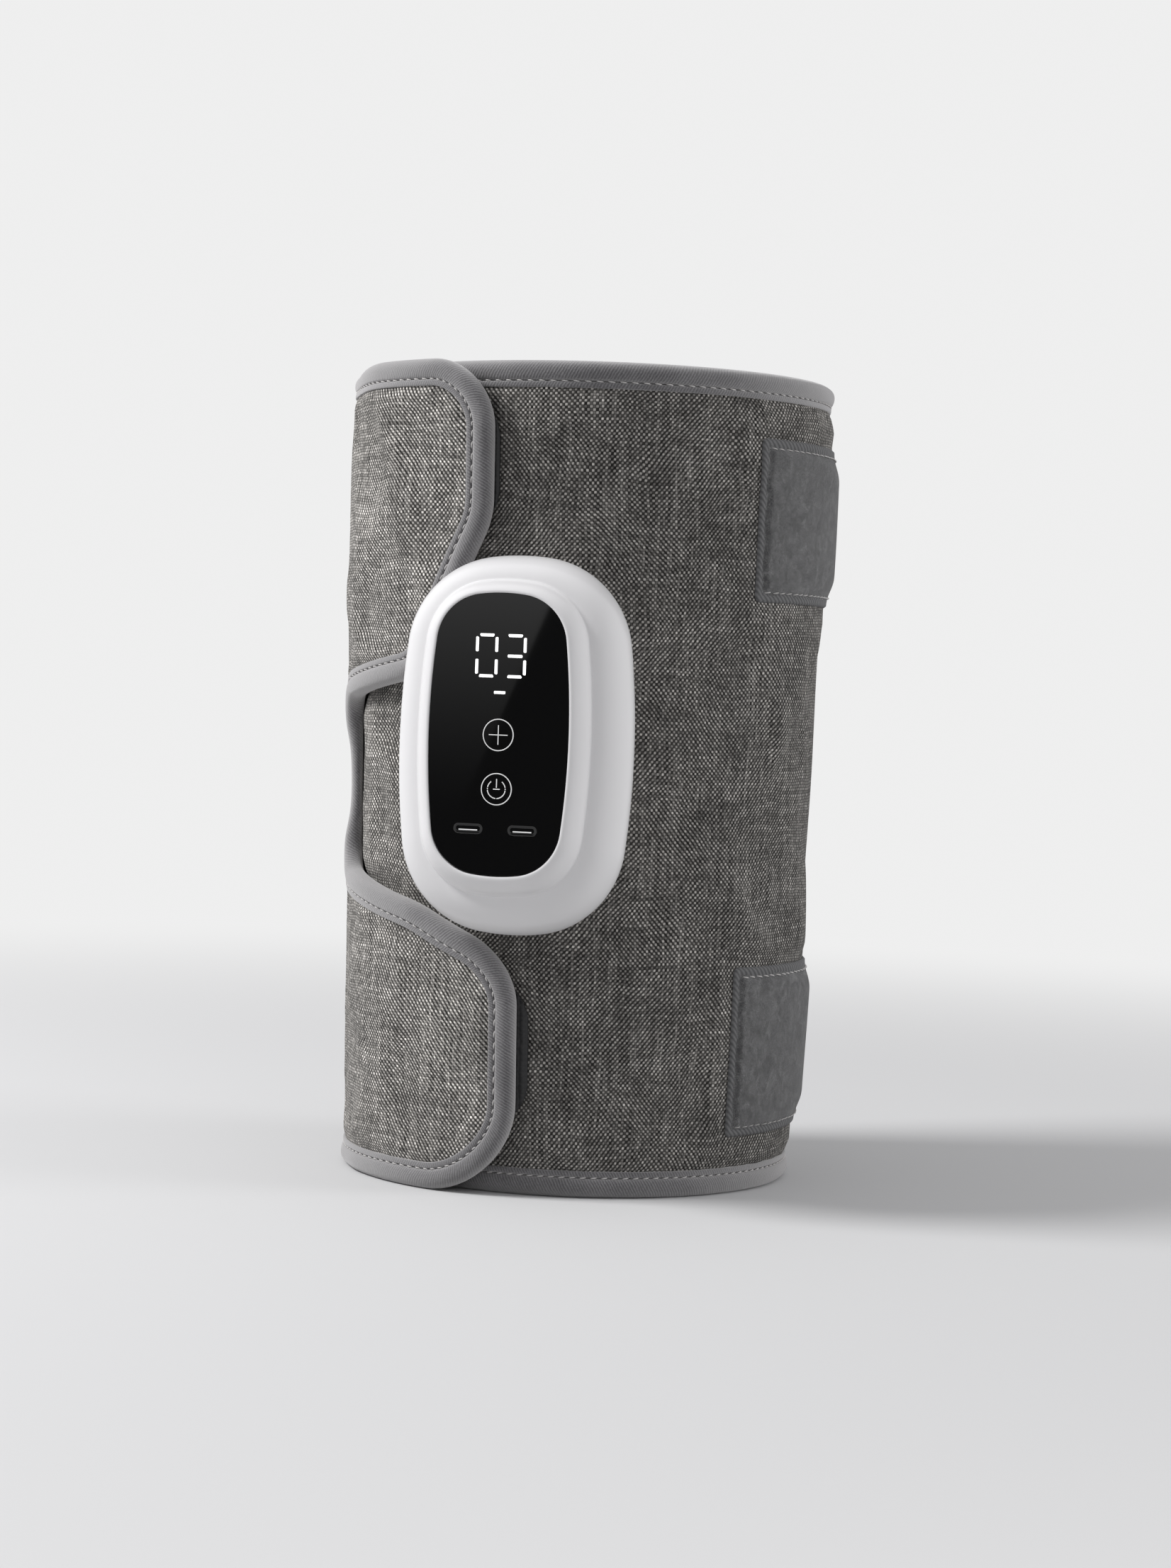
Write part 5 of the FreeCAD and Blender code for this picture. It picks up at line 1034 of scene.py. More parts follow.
def edge_place(travel, inward, side):
    """Places the closing panel's tape: a place along its edge, moved inwards over the cloth, then laid on the
    spiral by turning that length back into an angle. It is pressed flatter at the waist."""
    ground, way = (np.stack([np.interp(travel, edge_travel, part) for part in table.T], axis=-1)
                   for table in (edge_ground, edge_inward))
    spot = ground + way * inward[..., None]
    radius = wrap_radius(spot[..., 1]) + closure_growth
    flat = WAIST_FLAT * plateau(ground[..., 1] - WAIST_HEIGHT, WAIST_REACH)
    return wrap_point(TAB_FACING + np.degrees(spot[..., 0] / radius), spot[..., 1],
                      CLOSURE_TAPE_MIDDLE + side * CLOSURE_TAPE_HALF * (1 - flat))


in_recess = np.flatnonzero(np.abs(closure_edge[:, 0] - recess_reach) < SAME_PLACE)
recess_first, recess_last = edge_travel[in_recess[0]] + RECESS_LAP, edge_travel[in_recess[-1]] - RECESS_LAP
for name, start, end, body in (("upper_tab", 0.0, recess_first, "upper_flap"),
                               ("recess", recess_first, recess_last, None),
                               ("lower_tab", recess_last, edge_travel[-1], "lower_flap")):
    lap = 0.0 if body else TAPE_LAP
    travel = np.linspace(start - lap, end + lap, int((end - start) / EDGE_TAPE_STEP))
    tape = sewn_tape(f"{name}_tape", edge_place, travel, start, end, lap)
    if body:
        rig.blend(tape, "closure", body, *fold_line(*TAB_FOLD))
    else:
        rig.ride(tape, "closure")
    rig.replaces(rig.slot(tape, "binding_velour"), f"{name}_binding")

# Loop patches: brushed loop tape sewn to the front panel's right side, upper and lower. Its woven border is
# stitched down along the top and the bottom, and the loops stand proud inside it.

LOOP_CORNER, LOOP_BORDER, LOOP_BORDER_RISE, LOOP_PILE_RISE = 2.0, 2.5, 0.65, 1.5
BORDER_EDGE, BORDER_WAVE, WAVE_UP, WAVE_ALONG, WAVE_START = (-0.05, 0.35), 0.22, 1.9, 3.3, (0.8, 2.0)
GROOVE_DEPTH, GROOVE_WIDTH, PILE_SLOPE, FAR_PILE_SLOPE = 0.4, 0.45, 1.6, 6.0
LOOP_END, LOOP_LIFT, LIFT_SLOPE, LOOP_STITCH_INSET = (72.0, 104.0), 1.1, 9.0, 2.9
LOOP_SEAT, LOOP_BACK, BORDER_PITCH = 0.15, 0.1, 0.9
LOOP_COLOUR = (0.076, 0.076, 0.078)

loop_pile = new_finish("loop pile", LOOP_COLOUR, 0.95, Sheen_Weight=0.5)
loop_tone = weighted(loop_pile, (object_noise(loop_pile, 260.0, 3.0, 0.6, 1.0), 0.25),
                     (object_noise(loop_pile, 2100.0, 4.0, 0.7, 3.5), 0.75))
feed(loop_pile, "Base Color", shades(loop_pile, loop_tone, (0.36, (0.03, 0.03, 0.031)), (0.5, LOOP_COLOUR),
                                     (0.62, (0.35, 0.35, 0.35))))
bump(loop_pile, loop_tone, 0.8, 0.5)
loop_border = new_finish("loop border", LOOP_COLOUR, 0.9)
border_ribs = ribs(loop_border, cloth_place(loop_border), BORDER_PITCH,
                   {"Distortion": 1.0, "Detail Scale": 4.0}, bands_direction="DIAGONAL")
feed(loop_border, "Base Color", shades(loop_border, border_ribs, (0.1, (0.10, 0.10, 0.102)),
                                       (0.9, (0.18, 0.18, 0.183))))
bump(loop_border, border_ribs, 0.5, 0.15)


def border_distance(across, up, half_width, half_height, corner):
    """Distance inwards from a rounded rectangle's edge: the corner's radius less the length past the
    corner's centre, or plus the distance to the nearer line through the centres."""
    past = np.stack([np.abs(across) - half_width + corner, np.abs(up) - half_height + corner], axis=-1)
    return corner - np.linalg.norm(np.maximum(past, 0), axis=-1) - np.minimum(past.max(-1), 0)


def rounded_grid(half_width, half_height, corner, columns, rows):
    """A grid over a rounded rectangle: points past a corner's arc are drawn back onto it."""
    spot = np.stack(np.meshgrid(np.linspace(-half_width, half_width, columns),
                                np.linspace(-half_height, half_height, rows)), axis=-1)
    straight = np.array([half_width - corner, half_height - corner])
    inner = np.clip(spot, -straight, straight)
    past = spot - inner
    length = np.linalg.norm(past, axis=-1, keepdims=True)
    return inner + past * np.minimum(1, corner / np.maximum(length, 1e-6))


loop_half_length = (cloth_length(LOOP_ANGLES[1]) - cloth_length(LOOP_ANGLES[0])) / 2


def loop_surface(across, up, low, high):
    """Angle, height, depth of the fabric below, rise and distance from the edge of a loop patch, from a
    place about its middle. A border with a waving inner line rises over its first third of a millimetre, a
    groove follows as a bell, and the pile swells inside it. Towards the far end it swells more slowly and
    lifts off."""
    angle = LOOP_ANGLES[0] + (LOOP_ANGLES[1] - LOOP_ANGLES[0]) * (across / loop_half_length + 1) / 2
    height = (low + high) / 2 + up
    inside = border_distance(across, up, loop_half_length, (high - low) / 2, LOOP_CORNER)
    wave = BORDER_WAVE * np.sin(up / WAVE_UP + 2 * np.sin(across / WAVE_ALONG))
    inside = inside + wave * eased(inside, *WAVE_START)
    far = eased(angle, *LOOP_END)
    rise = LOOP_BORDER_RISE * eased(inside, *BORDER_EDGE)
    rise = rise - GROOVE_DEPTH * np.exp(-((inside - LOOP_BORDER) / GROOVE_WIDTH) ** 2) * (1 - far)
    pile = eased(inside, LOOP_BORDER, LOOP_BORDER + PILE_SLOPE + FAR_PILE_SLOPE * far)
    rise = rise + (LOOP_PILE_RISE - LOOP_BORDER_RISE) * pile
    rise = rise + LOOP_LIFT * far * eased(inside, 0, LIFT_SLOPE)
    return angle, height, fabric_depth(angle, height), rise, inside


def loop_seam(low, high):
    """Places a patch's stitching: along its top and then its bottom, with a stitch's lift above the tape."""
    seam = (high - low) / 2 - LOOP_STITCH_INSET

    def place(travel, inward, side):
        upper = travel < 0
        across = np.where(upper, travel + loop_half_length, travel - loop_half_length)
        up = (seam - inward + STITCH_ROW) * np.where(upper, 1, -1)
        angle, height, seat, rise = loop_surface(across, up, low, high)[:4]
        return wrap_point(angle, height, seat - LOOP_SEAT - rise - (-side - STITCH_DEPTH) * TAPE_HALF)
    return place


loop_sewn = 2 * loop_half_length - LOOP_STITCH_INSET
for name, (low, high) in LOOP_HEIGHTS.items():
    spots = rounded_grid(loop_half_length, (high - low) / 2, LOOP_CORNER, 130, 90)
    across, up = spots[..., 0], spots[..., 1]
    angle, height, seat, rise, inside = loop_surface(across, up, low, high)
    points = np.concatenate([wrap_point(angle, height, seat - LOOP_SEAT - rise),
                             wrap_point(angle, height, seat - LOOP_BACK)[::-1]])
    edged = (face_corners(inside).mean(-1) < LOOP_BORDER).astype(int)
    finish = np.concatenate([edged, np.ones_like(edged[:1]), edged[::-1], np.ones_like(edged[:1])])
    rows = [stitches(loop_seam(low, high), *ends, -1, 2)
            for ends in ((-loop_sewn, -LOOP_STITCH_INSET), (LOOP_STITCH_INSET, loop_sewn))]
    cloth = surface(points, doubled(across, up), finish, ring=True, capped=True)
    patch = make_piece(f"{name}_loop_tape", [cloth, *rows], loop_pile, loop_border, thread)
    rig.replaces(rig.slot(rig.ride(patch, "front"), "loop_pile"), f"{name}_loop_patch")
    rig.sheet(patch, (2 * loop_half_length * MILLIMETRE, (high - low) * MILLIMETRE), "laid", ["front_fabric"])

# Hook patches: stiff woven tape with rows of small hooks, sewn under each tab and gripping the loops when
# closed. Each shows as a thin dark edge past its tab.

# Each patch's reach to the left and right, lower and upper height, and corner radius.
HOOKS = {"upper": ((-12.0, 32.1), (192.0, 228.0), 10.8), "lower": ((-12.0, 42.2), (19.5, 63.5), 13.2)}
HOOK_DEPTHS, HOOK_PITCH = (5.2, 6.2), 1.6
HOOK_BEVEL, BEVEL_WIDTH = 0.25, 0.5
SEAM_SINK, SEAM_INSET, SEAM_WIDTH = 0.2, 1.6, 0.35
HOOK_COLOUR = (0.012, 0.012, 0.013)

hook_tape = new_finish("hook tape", HOOK_COLOUR, 0.6)
hook_rows = node_out(hook_tape, "TexVoronoi", {"Vector": cloth_place(hook_tape), "Scale": 1 / HOOK_PITCH,
                                               "Randomness": 0.25}, "Distance")
bump(hook_tape, maths(hook_tape, "SUBTRACT", 1.0, hook_rows), 0.9, 0.5)

for name, ((left, right), (low, high), corner) in HOOKS.items():
    half_width, half_height = (right - left) / 2, (high - low) / 2
    spots = rounded_grid(half_width, half_height, corner, 44, 44)
    across, up = spots[..., 0], spots[..., 1]
    inside = border_distance(across, up, half_width, half_height, corner)
    height = (low + high) / 2 + up
    angle = reach_angle((left + right) / 2 + across, height)
    bevel = HOOK_BEVEL * (1 - eased(inside, 0, BEVEL_WIDTH))
    bevel = bevel + SEAM_SINK * np.exp(-((inside - SEAM_INSET) / SEAM_WIDTH) ** 2)
    points = np.concatenate([wrap_point(angle, height, HOOK_DEPTHS[0] + bevel),
                             wrap_point(angle, height, HOOK_DEPTHS[1] - bevel)[::-1]])
    cloth = surface(points, doubled(across, up), 0, ring=True, capped=True)
    patch = make_piece(f"{name}_hook_tape", [cloth], hook_tape)
    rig.replaces(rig.slot(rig.ride(patch, f"{name}_flap"), "hook_tape"), f"{name}_hook_patch")
    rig.sheet(patch, (2 * half_width * MILLIMETRE, 2 * half_height * MILLIMETRE), "laid",
             [f"{name}_tab_fabric"])

# Controller's mount and works: a plate clamped inside the fabric by four screws, and behind the panel the
# board, battery, pump, valve and charging socket. They are hard parts, shown as they are built, with their
# own finishes.

# Each slot with its colour, roughness, share of metal and parts.
WORKS = (
    ("plate_plastic", (0.06, 0.06, 0.062), 0.45, 0.0, ("backing_plate", "air_nozzle")),
    ("pump_plastic", (0.03, 0.03, 0.032), 0.4, 0.0, ("pump_head", "pump_cap", "air_manifold")),
    ("display_black", (0.01, 0.01, 0.011), 0.3, 0.0, ("digit_display",)),
    ("board_green", (0.01, 0.09, 0.035), 0.4, 0.0, ("main_board", "charge_board")),
    ("battery_wrap", (0.03, 0.10, 0.28), 0.35, 0.0, ("battery",)),
    ("hose_rubber", (0.5, 0.5, 0.48), 0.5, 0.0, ("pump_diaphragm", "pump_hose")),
    ("switch_metal", (0.62, 0.62, 0.62), 0.3, 1.0, ("tact_switches", "usb_socket")),
    ("screw_steel", (0.55, 0.55, 0.56), 0.3, 1.0,
     ("plate_screws", "board_screws", "case_screws", "pump_crank")),
    ("motor_steel", (0.5, 0.5, 0.51), 0.35, 1.0, ("pump_motor", "valve_coil", "valve_plunger")),
    ("lit_white", (0.8, 0.8, 0.8), 0.3, 0.0, ("display_bars",)),
)


def dress(node, finish, slot):
    """Gives a built part its finish and its slot."""
    part = frame["nodes"][node]
    part.data.materials.clear()
    part.data.materials.append(finish)
    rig.slot(part, slot)


for slot, colour, roughness, metal, nodes in WORKS:
    finish = moulded_finish(slot.replace("_", " "), colour, roughness, Metallic=metal)
    for node in nodes:
        dress(node, finish, slot)

# Rear shell: the lower half of the white housing, moulded in satin plastic and seated on the fabric. Its wall
# leans in under the parting line, so the controller seems to float.

MOUNT_RADIUS = 67.815
HOUSING_HALF_WIDTH, HOUSING_HALF_LENGTH, LENGTH_INSET_SHARE = 34.3, 53.8, 1.03
SIDE_RADIUS, END_RADIUS, CORNER_RADIUS = 240.0, 62.0, 28.0
# Points along each side, corner and end arc of a quarter.
ARC_POINTS = (8, 34, 6)
FOOT_INSET, PARTING_HEIGHT, PARTING_DROP, PARTING_GAP, PARTING_BEVEL = 5.0, 9.5, 0.12, 0.1, 0.35
FOOT_CURVE = ((1, 0), (0.92, 0.10), (0.45, 0.50), (0.08, 0.84), (0, 1))
HOUSING_WALL, SADDLE_SINK = 2.0, 0.5
SHELL_COLOUR = (0.86, 0.852, 0.862)

white_shell = moulded_finish("white shell", SHELL_COLOUR, 0.34, 7000.0, 0.04, Coat_Weight=0.5,
                             Coat_Roughness=0.2)


def oval_ring(inset):
    """The housing's oval drawn in by insets: side, corner and end arcs that share their tangents. The
    corner's centre lies where circles about the side's and end's centres cross, and a point is a centre
    plus its radius times the cosine and sine of the direction that it faces. One quarter is mirrored into
    four."""
    inset = np.asarray(inset, float)[:, None]
    none = 0 * inset
    side = HOUSING_HALF_WIDTH - SIDE_RADIUS + none
    end = HOUSING_HALF_LENGTH - END_RADIUS + (1 - LENGTH_INSET_SHARE) * inset
    near, far = SIDE_RADIUS - CORNER_RADIUS, END_RADIUS - CORNER_RADIUS
    span = np.hypot(side, end)
    step = (near ** 2 - far ** 2 + span ** 2) / (2 * span)
    lift = np.sqrt(near ** 2 - step ** 2)
    corner_x = side + (-side * step - end * lift) / span
    corner_y = (end * step - side * lift) / span
    turns = [none, np.arctan2(corner_y, corner_x - side), np.arctan2(corner_y - end, corner_x),
             none + np.pi / 2]
    centres = [(side, none, SIDE_RADIUS), (corner_x, corner_y, CORNER_RADIUS), (none, end, END_RADIUS)]
    quarter = []
    for (x, y, radius), start, stop, count in zip(centres, turns, turns[1:], ARC_POINTS):
        facing = start + (stop - start) * np.linspace(0, 1, count, endpoint=False)
        reach = radius - inset
        quarter.append(np.stack([x + reach * np.cos(facing), y + reach * np.sin(facing)], axis=-1))
    top = np.stack([none, end + END_RADIUS - inset], axis=-1)
    quarter = np.concatenate(quarter + [top], axis=1)
    half = np.concatenate([quarter, quarter[:, -2:0:-1] * (-1, 1)], axis=1)
    return np.concatenate([half, half * (-1, -1)], axis=1)


def controller_point(x, stand, y):
    """Point of the controller: sideways, out from its mount and up from its middle."""
    return np.stack([x, -(MOUNT_RADIUS + stand), CONTROLLER_HEIGHT + y], axis=-1)


foot_shares = smooth_line(FOOT_CURVE, 18)
foot_inset = FOOT_INSET * foot_shares[:, 0]
foot_stand = (PARTING_HEIGHT - PARTING_DROP) * foot_shares[:, 1]
outer_ring = oval_ring(np.r_[FOOT_INSET, foot_inset, PARTING_BEVEL])
inner_ring = oval_ring(np.r_[foot_inset[::-1] + HOUSING_WALL, FOOT_INSET + HOUSING_WALL])
rear_ring = np.concatenate([outer_ring, inner_ring])
rear_x, rear_y = rear_ring[..., 0], rear_ring[..., 1]
rear_stand = np.r_[0, foot_stand, PARTING_HEIGHT - PARTING_GAP, foot_stand[::-1], 0][:, None] + 0 * rear_x
saddle = np.sqrt(wrap_radius(CONTROLLER_HEIGHT + rear_y) ** 2 - rear_x ** 2) - MOUNT_RADIUS - SADDLE_SINK
rear_stand[[0, -1]] = np.minimum(saddle, 0)[[0, -1]]
rear_points = controller_point(rear_x, rear_stand, rear_y)
rear_shell = make_piece("rear_housing", [surface(rear_points, ring=True, loop=True)], white_shell)
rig.replaces(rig.slot(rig.ride(rear_shell, "front"), "white_shell"), "rear_shell")

# Front shell: the upper half of the white housing, moulded in one with two rounded tiers. A thin bright lip
# at its top stands round the panel, which drops into a seat inside it.

TIER_INSET, TIER_HEIGHT, TIER_POWERS, TIER_POINTS = 9.0, 21.8, (2.0, 1.5), (34, 26)
LIP_HEIGHT, LIP_WIDTH, LIP_BEVEL = 27.9, 0.6, 0.12
SEAT_HEIGHT, SEAT_THICKNESS, ROOF_SHARE = 25.7, 1.5, 0.6
PANEL_RISE, PANEL_SEAT_INSET = 3.2, 13.25
STEP_SOFTNESS = 3


def arched(power, count):
    """Shares inwards and outwards along a rounded shoulder, the quarter of a curve whose powers sum to
    one."""
    turn = np.linspace(0, np.pi / 2, count)
    return 1 - np.cos(turn) ** (2 / power), np.sin(turn) ** (2 / power)


(lower_in, lower_out), (upper_in, upper_out) = (arched(*tier) for tier in zip(TIER_POWERS, TIER_POINTS))
tier_inset = np.r_[TIER_INSET * lower_in, (TIER_INSET + (PANEL_SEAT_INSET - TIER_INSET) * upper_in)[1:]]
tier_stand = np.r_[PARTING_HEIGHT + (TIER_HEIGHT - PARTING_HEIGHT) * lower_out,
                   (TIER_HEIGHT + (LIP_HEIGHT - TIER_HEIGHT) * upper_out)[1:]]
for line in (tier_inset, tier_stand) * STEP_SOFTNESS:
    line[1:-1] = (line[:-2] + 2 * line[1:-1] + line[2:]) / 4
lip_inset = PANEL_SEAT_INSET + LIP_WIDTH - np.array([LIP_BEVEL, 0, 0])
lip_stand = np.r_[LIP_HEIGHT, LIP_HEIGHT - LIP_BEVEL, SEAT_HEIGHT]
back_stand = np.minimum(tier_stand[::-1] - HOUSING_WALL * ROOF_SHARE, SEAT_HEIGHT - SEAT_THICKNESS)
back_stand[-1] = PARTING_HEIGHT
front_inset = np.r_[tier_inset, lip_inset, tier_inset[::-1] + HOUSING_WALL]
front_stand = np.r_[tier_stand, lip_stand, back_stand][:, None]
front_ring = oval_ring(front_inset)
front_x, front_y = front_ring[..., 0], front_ring[..., 1]
front_rise = (PANEL_RISE * np.minimum(front_inset, PANEL_SEAT_INSET) / PANEL_SEAT_INSET)[:, None]
front_points = controller_point(front_x, front_stand + 0 * front_x, front_y + front_rise)
front_shell = make_piece("front_housing", [surface(front_points, ring=True, loop=True)], white_shell)
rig.replaces(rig.slot(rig.ride(front_shell, "front"), "white_shell"), "front_shell")

# Panel and keys: a plate of gloss black plastic that drops into the housing, with openings for four keys of
# the same black. Each key rests on a switch behind it.

PANEL_COLOUR = (0.0035, 0.0035, 0.0037)


def gloss_finish(name, roughness, scale, low, high):
    """Polished black plastic whose roughness wanders slowly from low to high."""
    finish = new_finish(name, PANEL_COLOUR, roughness)
    feed(finish, "Roughness", spread(finish, object_noise(finish, scale), low, high))
    return finish


black_panel = gloss_finish("black panel", 0.025, 60.0, 0.015, 0.035)
key_black = gloss_finish("key black", 0.03, 80.0, 0.02, 0.04)
dress("control_panel", black_panel, "black_panel")
for node in ("plus_key", "power_key", "heat_key", "mode_key"):
    dress(node, key_black, "key_black")

# Lit marks: two digits and a dash that glow through the panel from the display behind it. They are shown as
# thin white bars on the panel's face.

PANEL_FRONT, PANEL_MIDDLE = 27.7, 3.2
MARK_STAND, MARK_SINK, MARK_STEP = 0.03, 0.2, 0.08
DIGIT_HEIGHT, DIGIT_WIDTH, DIGIT_BAR, DIGIT_SPACING, DIGIT_MIDDLE = 12.2, 6.5, 0.84, 8.25, 22.0
BAR_GAP, BAR_MITRE, BAR_ROUND = 0.95, 0.45, 0.3
# Gaps of the middle bar, of a side bar's inner end and of its outer end, as shares of the bars' gap.
MIDDLE_GAP, INNER_GAP, OUTER_GAP = 2.3, 1.1, 0.85
DASH_MIDDLE, DASH_LENGTH, DASH_BAR, DASH_ROUND = 11.8, 3.3, 0.8, 0.18
# The bars of a digit by letter: a on top, then b to f round it to the right, and g in the middle.
DIGIT_BARS = {"0": "abcdef", "3": "abgcd"}
WHITE_LIGHT = (1.0, 1.0, 1.0, 1)

lit_white = new_finish("lit white", (0.9, 0.9, 0.9), 0.4, Emission_Color=WHITE_LIGHT, Emission_Strength=0.9)


def mark_outline(corners, radius):
    """A closed outline through corners, each rounded, that starts half way along the last side."""
    middle = tuple((np.array(corners[-1]) + corners[0]) / 2)
    return rounded_path([(*middle, 0), *((x, y, radius) for x, y in corners), (*middle, 0)], MARK_STEP)[:-1]


def mark_plate(corners, radius):
    """A thin plate in the panel's face: its outline as a ring, from the face to just below it, with both ends
    closed."""
    outline = mark_outline(corners, radius)
    heights = np.array([PANEL_FRONT + MARK_STAND, PANEL_FRONT - MARK_SINK])
    x, y = (outline[:, axis, None] + 0 * heights for axis in (0, 1))
    return surface(controller_point(x, heights + 0 * x, y + PANEL_MIDDLE), ring=True, capped=True)


def bar_corners(middle_x, middle_y, width, height):
    """Corners of a plain bar, going round it."""
    across, up = width / 2, height / 2
    return [(middle_x - across, middle_y - up), (middle_x + across, middle_y - up),
            (middle_x + across, middle_y + up), (middle_x - across, middle_y + up)]


def digit_bars(bars, middle_x, middle_y):
    """The bars of one digit: bars whose outer side is longer than the inner one, turned to the four sides,
    and a straight middle bar."""
    half_width, half_height = DIGIT_WIDTH / 2, DIGIT_HEIGHT / 2
    plates = []
    for bar in bars:
        if bar in "ad":
            sign, inner_side = (1 if bar == "a" else -1), half_height - DIGIT_BAR
            outer, inner = half_width - BAR_GAP, half_width - BAR_GAP - BAR_MITRE
            corners = [(-inner, inner_side), (inner, inner_side), (outer, half_height), (-outer, half_height)]
            corners = [(x, y * sign) for x, y in corners][::sign]
        elif bar == "g":
            corners = bar_corners(0, 0, DIGIT_WIDTH - MIDDLE_GAP * BAR_GAP, DIGIT_BAR)
        else:
            side, end = (1 if bar in "bc" else -1), (1 if bar in "bf" else -1)
            low, high = INNER_GAP * BAR_GAP, half_height - OUTER_GAP * BAR_GAP
            corners = [(half_width - DIGIT_BAR, low), (half_width, low), (half_width, high),
                       (half_width - DIGIT_BAR, high - BAR_MITRE / 2)]
            corners = [(x * side, y * end) for x, y in corners][::side * end]
        plates.append(mark_plate([(x + middle_x, y + middle_y) for x, y in corners], BAR_ROUND))
    return plates


digit_plates = [plate for digit, side in (("0", -1), ("3", 1))
                for plate in digit_bars(DIGIT_BARS[digit], side * DIGIT_SPACING / 2, DIGIT_MIDDLE)]
dash = mark_plate(bar_corners(0, DASH_MIDDLE, DASH_LENGTH, DASH_BAR), DASH_ROUND)
digits = make_piece("lit_digits", digit_plates + [dash], lit_white)
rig.slot(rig.ride(digits, "front"), "lit_white")

# Key marks: white rings, a plus, a power sign and two short bars, printed in the keys' faces, so that they
# travel with the keys.

RING_RADIUS, RING_LINE, LINE_ROUND = 4.5, 0.27, 0.1
RING_POINTS, ARC_MARK_POINTS = 96, 24
PLUS_LENGTH, PLUS_LINE = 5.5, 0.25
POWER_MIDDLE, POWER_RADIUS, POWER_LINE = -15.1, 2.6, 0.28
POWER_ARCS = ((127, 169), (174, 182), (187, 267), (273, 353), (358, 366), (371, 413))
POWER_BAR, POWER_CROSS = (0.4, 2.9), 2.0
PILL_X, PILL_MIDDLE, PILL_BAR, PILL_ROUND = 7.9, -26.7, (5.5, 0.34), 0.16
RIM_MIDDLE, RIM_SIZE, RIM_WIDTH, RIM_RISE, RIM_STRAIGHT = -26.35, (8.5, 2.9), 0.75, 0.15, 0.05
# The rim's rise half way up, and how much it gains at the top and loses at the bottom.
RIM_MEAN, RIM_GAIN = 0.55, 0.45
MARK_COLOUR = (0.70, 0.70, 0.70)

# Painted light: the printed white also glows a little of its own, a painted highlight that brightens the marks under
# any lamp.
printed_white_painted_glow = new_finish("printed white", MARK_COLOUR, 0.35, Emission_Color=WHITE_LIGHT,
                           Emission_Strength=0.2)


def ring_mark(middle_y, radius, line, ends=(0, 360)):
    """A flat ring or arc in a key's face: a thin rectangular section carried round a circle."""
    closed = ends[1] - ends[0] >= 360
    turn = np.radians(np.linspace(*ends, RING_POINTS if closed else ARC_MARK_POINTS, endpoint=not closed))
    edge = np.array([radius - line, radius, radius, radius - line])[:, None]
    stand = PANEL_FRONT + np.array([MARK_STAND, MARK_STAND, -MARK_SINK, -MARK_SINK])[:, None]
    x, y = edge * np.cos(turn), edge * np.sin(turn) + middle_y + PANEL_MIDDLE
    return surface(controller_point(x, stand + 0 * x, y), ring=True, loop=closed, capped=not closed)


plus_bars = [mark_plate(bar_corners(0, 0, *size), LINE_ROUND)
             for size in ((PLUS_LENGTH, PLUS_LINE), (PLUS_LINE, PLUS_LENGTH))]
plus_mark = make_piece("plus_mark", [ring_mark(0, RING_RADIUS, RING_LINE), *plus_bars], printed_white_painted_glow)
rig.slot(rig.ride(plus_mark, "plus_button"), "lit_white")
power_bar = bar_corners(0, POWER_MIDDLE + sum(POWER_BAR) / 2, POWER_LINE, POWER_BAR[1] - POWER_BAR[0])
power_cross = bar_corners(0, POWER_MIDDLE, POWER_CROSS, POWER_LINE)
power_arcs = [ring_mark(POWER_MIDDLE, POWER_RADIUS + POWER_LINE / 2, POWER_LINE, ends) for ends in POWER_ARCS]
power_mark = make_piece("power_mark", [
    ring_mark(POWER_MIDDLE, RING_RADIUS, RING_LINE), *power_arcs,
    *(mark_plate(corners, LINE_ROUND) for corners in (power_bar, power_cross))], printed_white_painted_glow)
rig.slot(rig.ride(power_mark, "power_button"), "lit_white")


def pill_rim(middle_x):
    """A low ridge round a pill key: half a sine across its width, carried round the pill's outline, and
    highest along the top."""
    outline = mark_outline(bar_corners(middle_x, RIM_MIDDLE, *RIM_SIZE), RIM_SIZE[1] / 2 - RIM_STRAIGHT)
    share = np.linspace(0, 1, 9)[:, None]
    turned = np.roll(outline, -1, axis=0) - np.roll(outline, 1, axis=0)
    inward = np.stack([-turned[:, 1], turned[:, 0]], axis=1) / np.linalg.norm(turned, axis=1, keepdims=True)
    spots = outline + inward * (share * RIM_WIDTH)[..., None]
    high = RIM_MEAN + RIM_GAIN * np.clip((outline[:, 1] - RIM_MIDDLE) / RIM_SIZE[1] * 2, -1, 1)
    stand = PANEL_FRONT + MARK_STAND / 2 + RIM_RISE * np.sin(np.pi * share) * high
    sunk = np.full((1, len(outline)), PANEL_FRONT - MARK_SINK)
    x, y = (np.concatenate([spots[:1, :, axis], spots[..., axis], spots[-1:, :, axis]]) for axis in (0, 1))
    points = controller_point(x, np.concatenate([sunk, stand, sunk]), y + PANEL_MIDDLE)
    return surface(points, finish=1, ring=True, loop=True)


for name, side in (("heat", -1), ("mode", 1)):
    bar = mark_plate(bar_corners(side * PILL_X, PILL_MIDDLE, *PILL_BAR), PILL_ROUND)
    mark = make_piece(f"{name}_mark", [bar, pill_rim(side * PILL_X)], printed_white_painted_glow, key_black)
    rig.slot(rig.ride(mark, f"{name}_button"), "lit_white")

# Studio: a plain pale floor, a large soft key light from the left and in front, a weak light from behind on
# the right, and even light all round. A dark card stands where the gloss panel mirrors it.

FLOOR_COLOUR, FLOOR_BOUNCE = (0.72, 0.72, 0.725), (0.52, 0.52, 0.522, 1)
FLOOR_HALF, FLOOR_FADE = 30.0, (0.25, 0.9)
BACKGROUND, ROUND_LIGHT, ROUND_TINT = 0.86, 0.40, 1.02
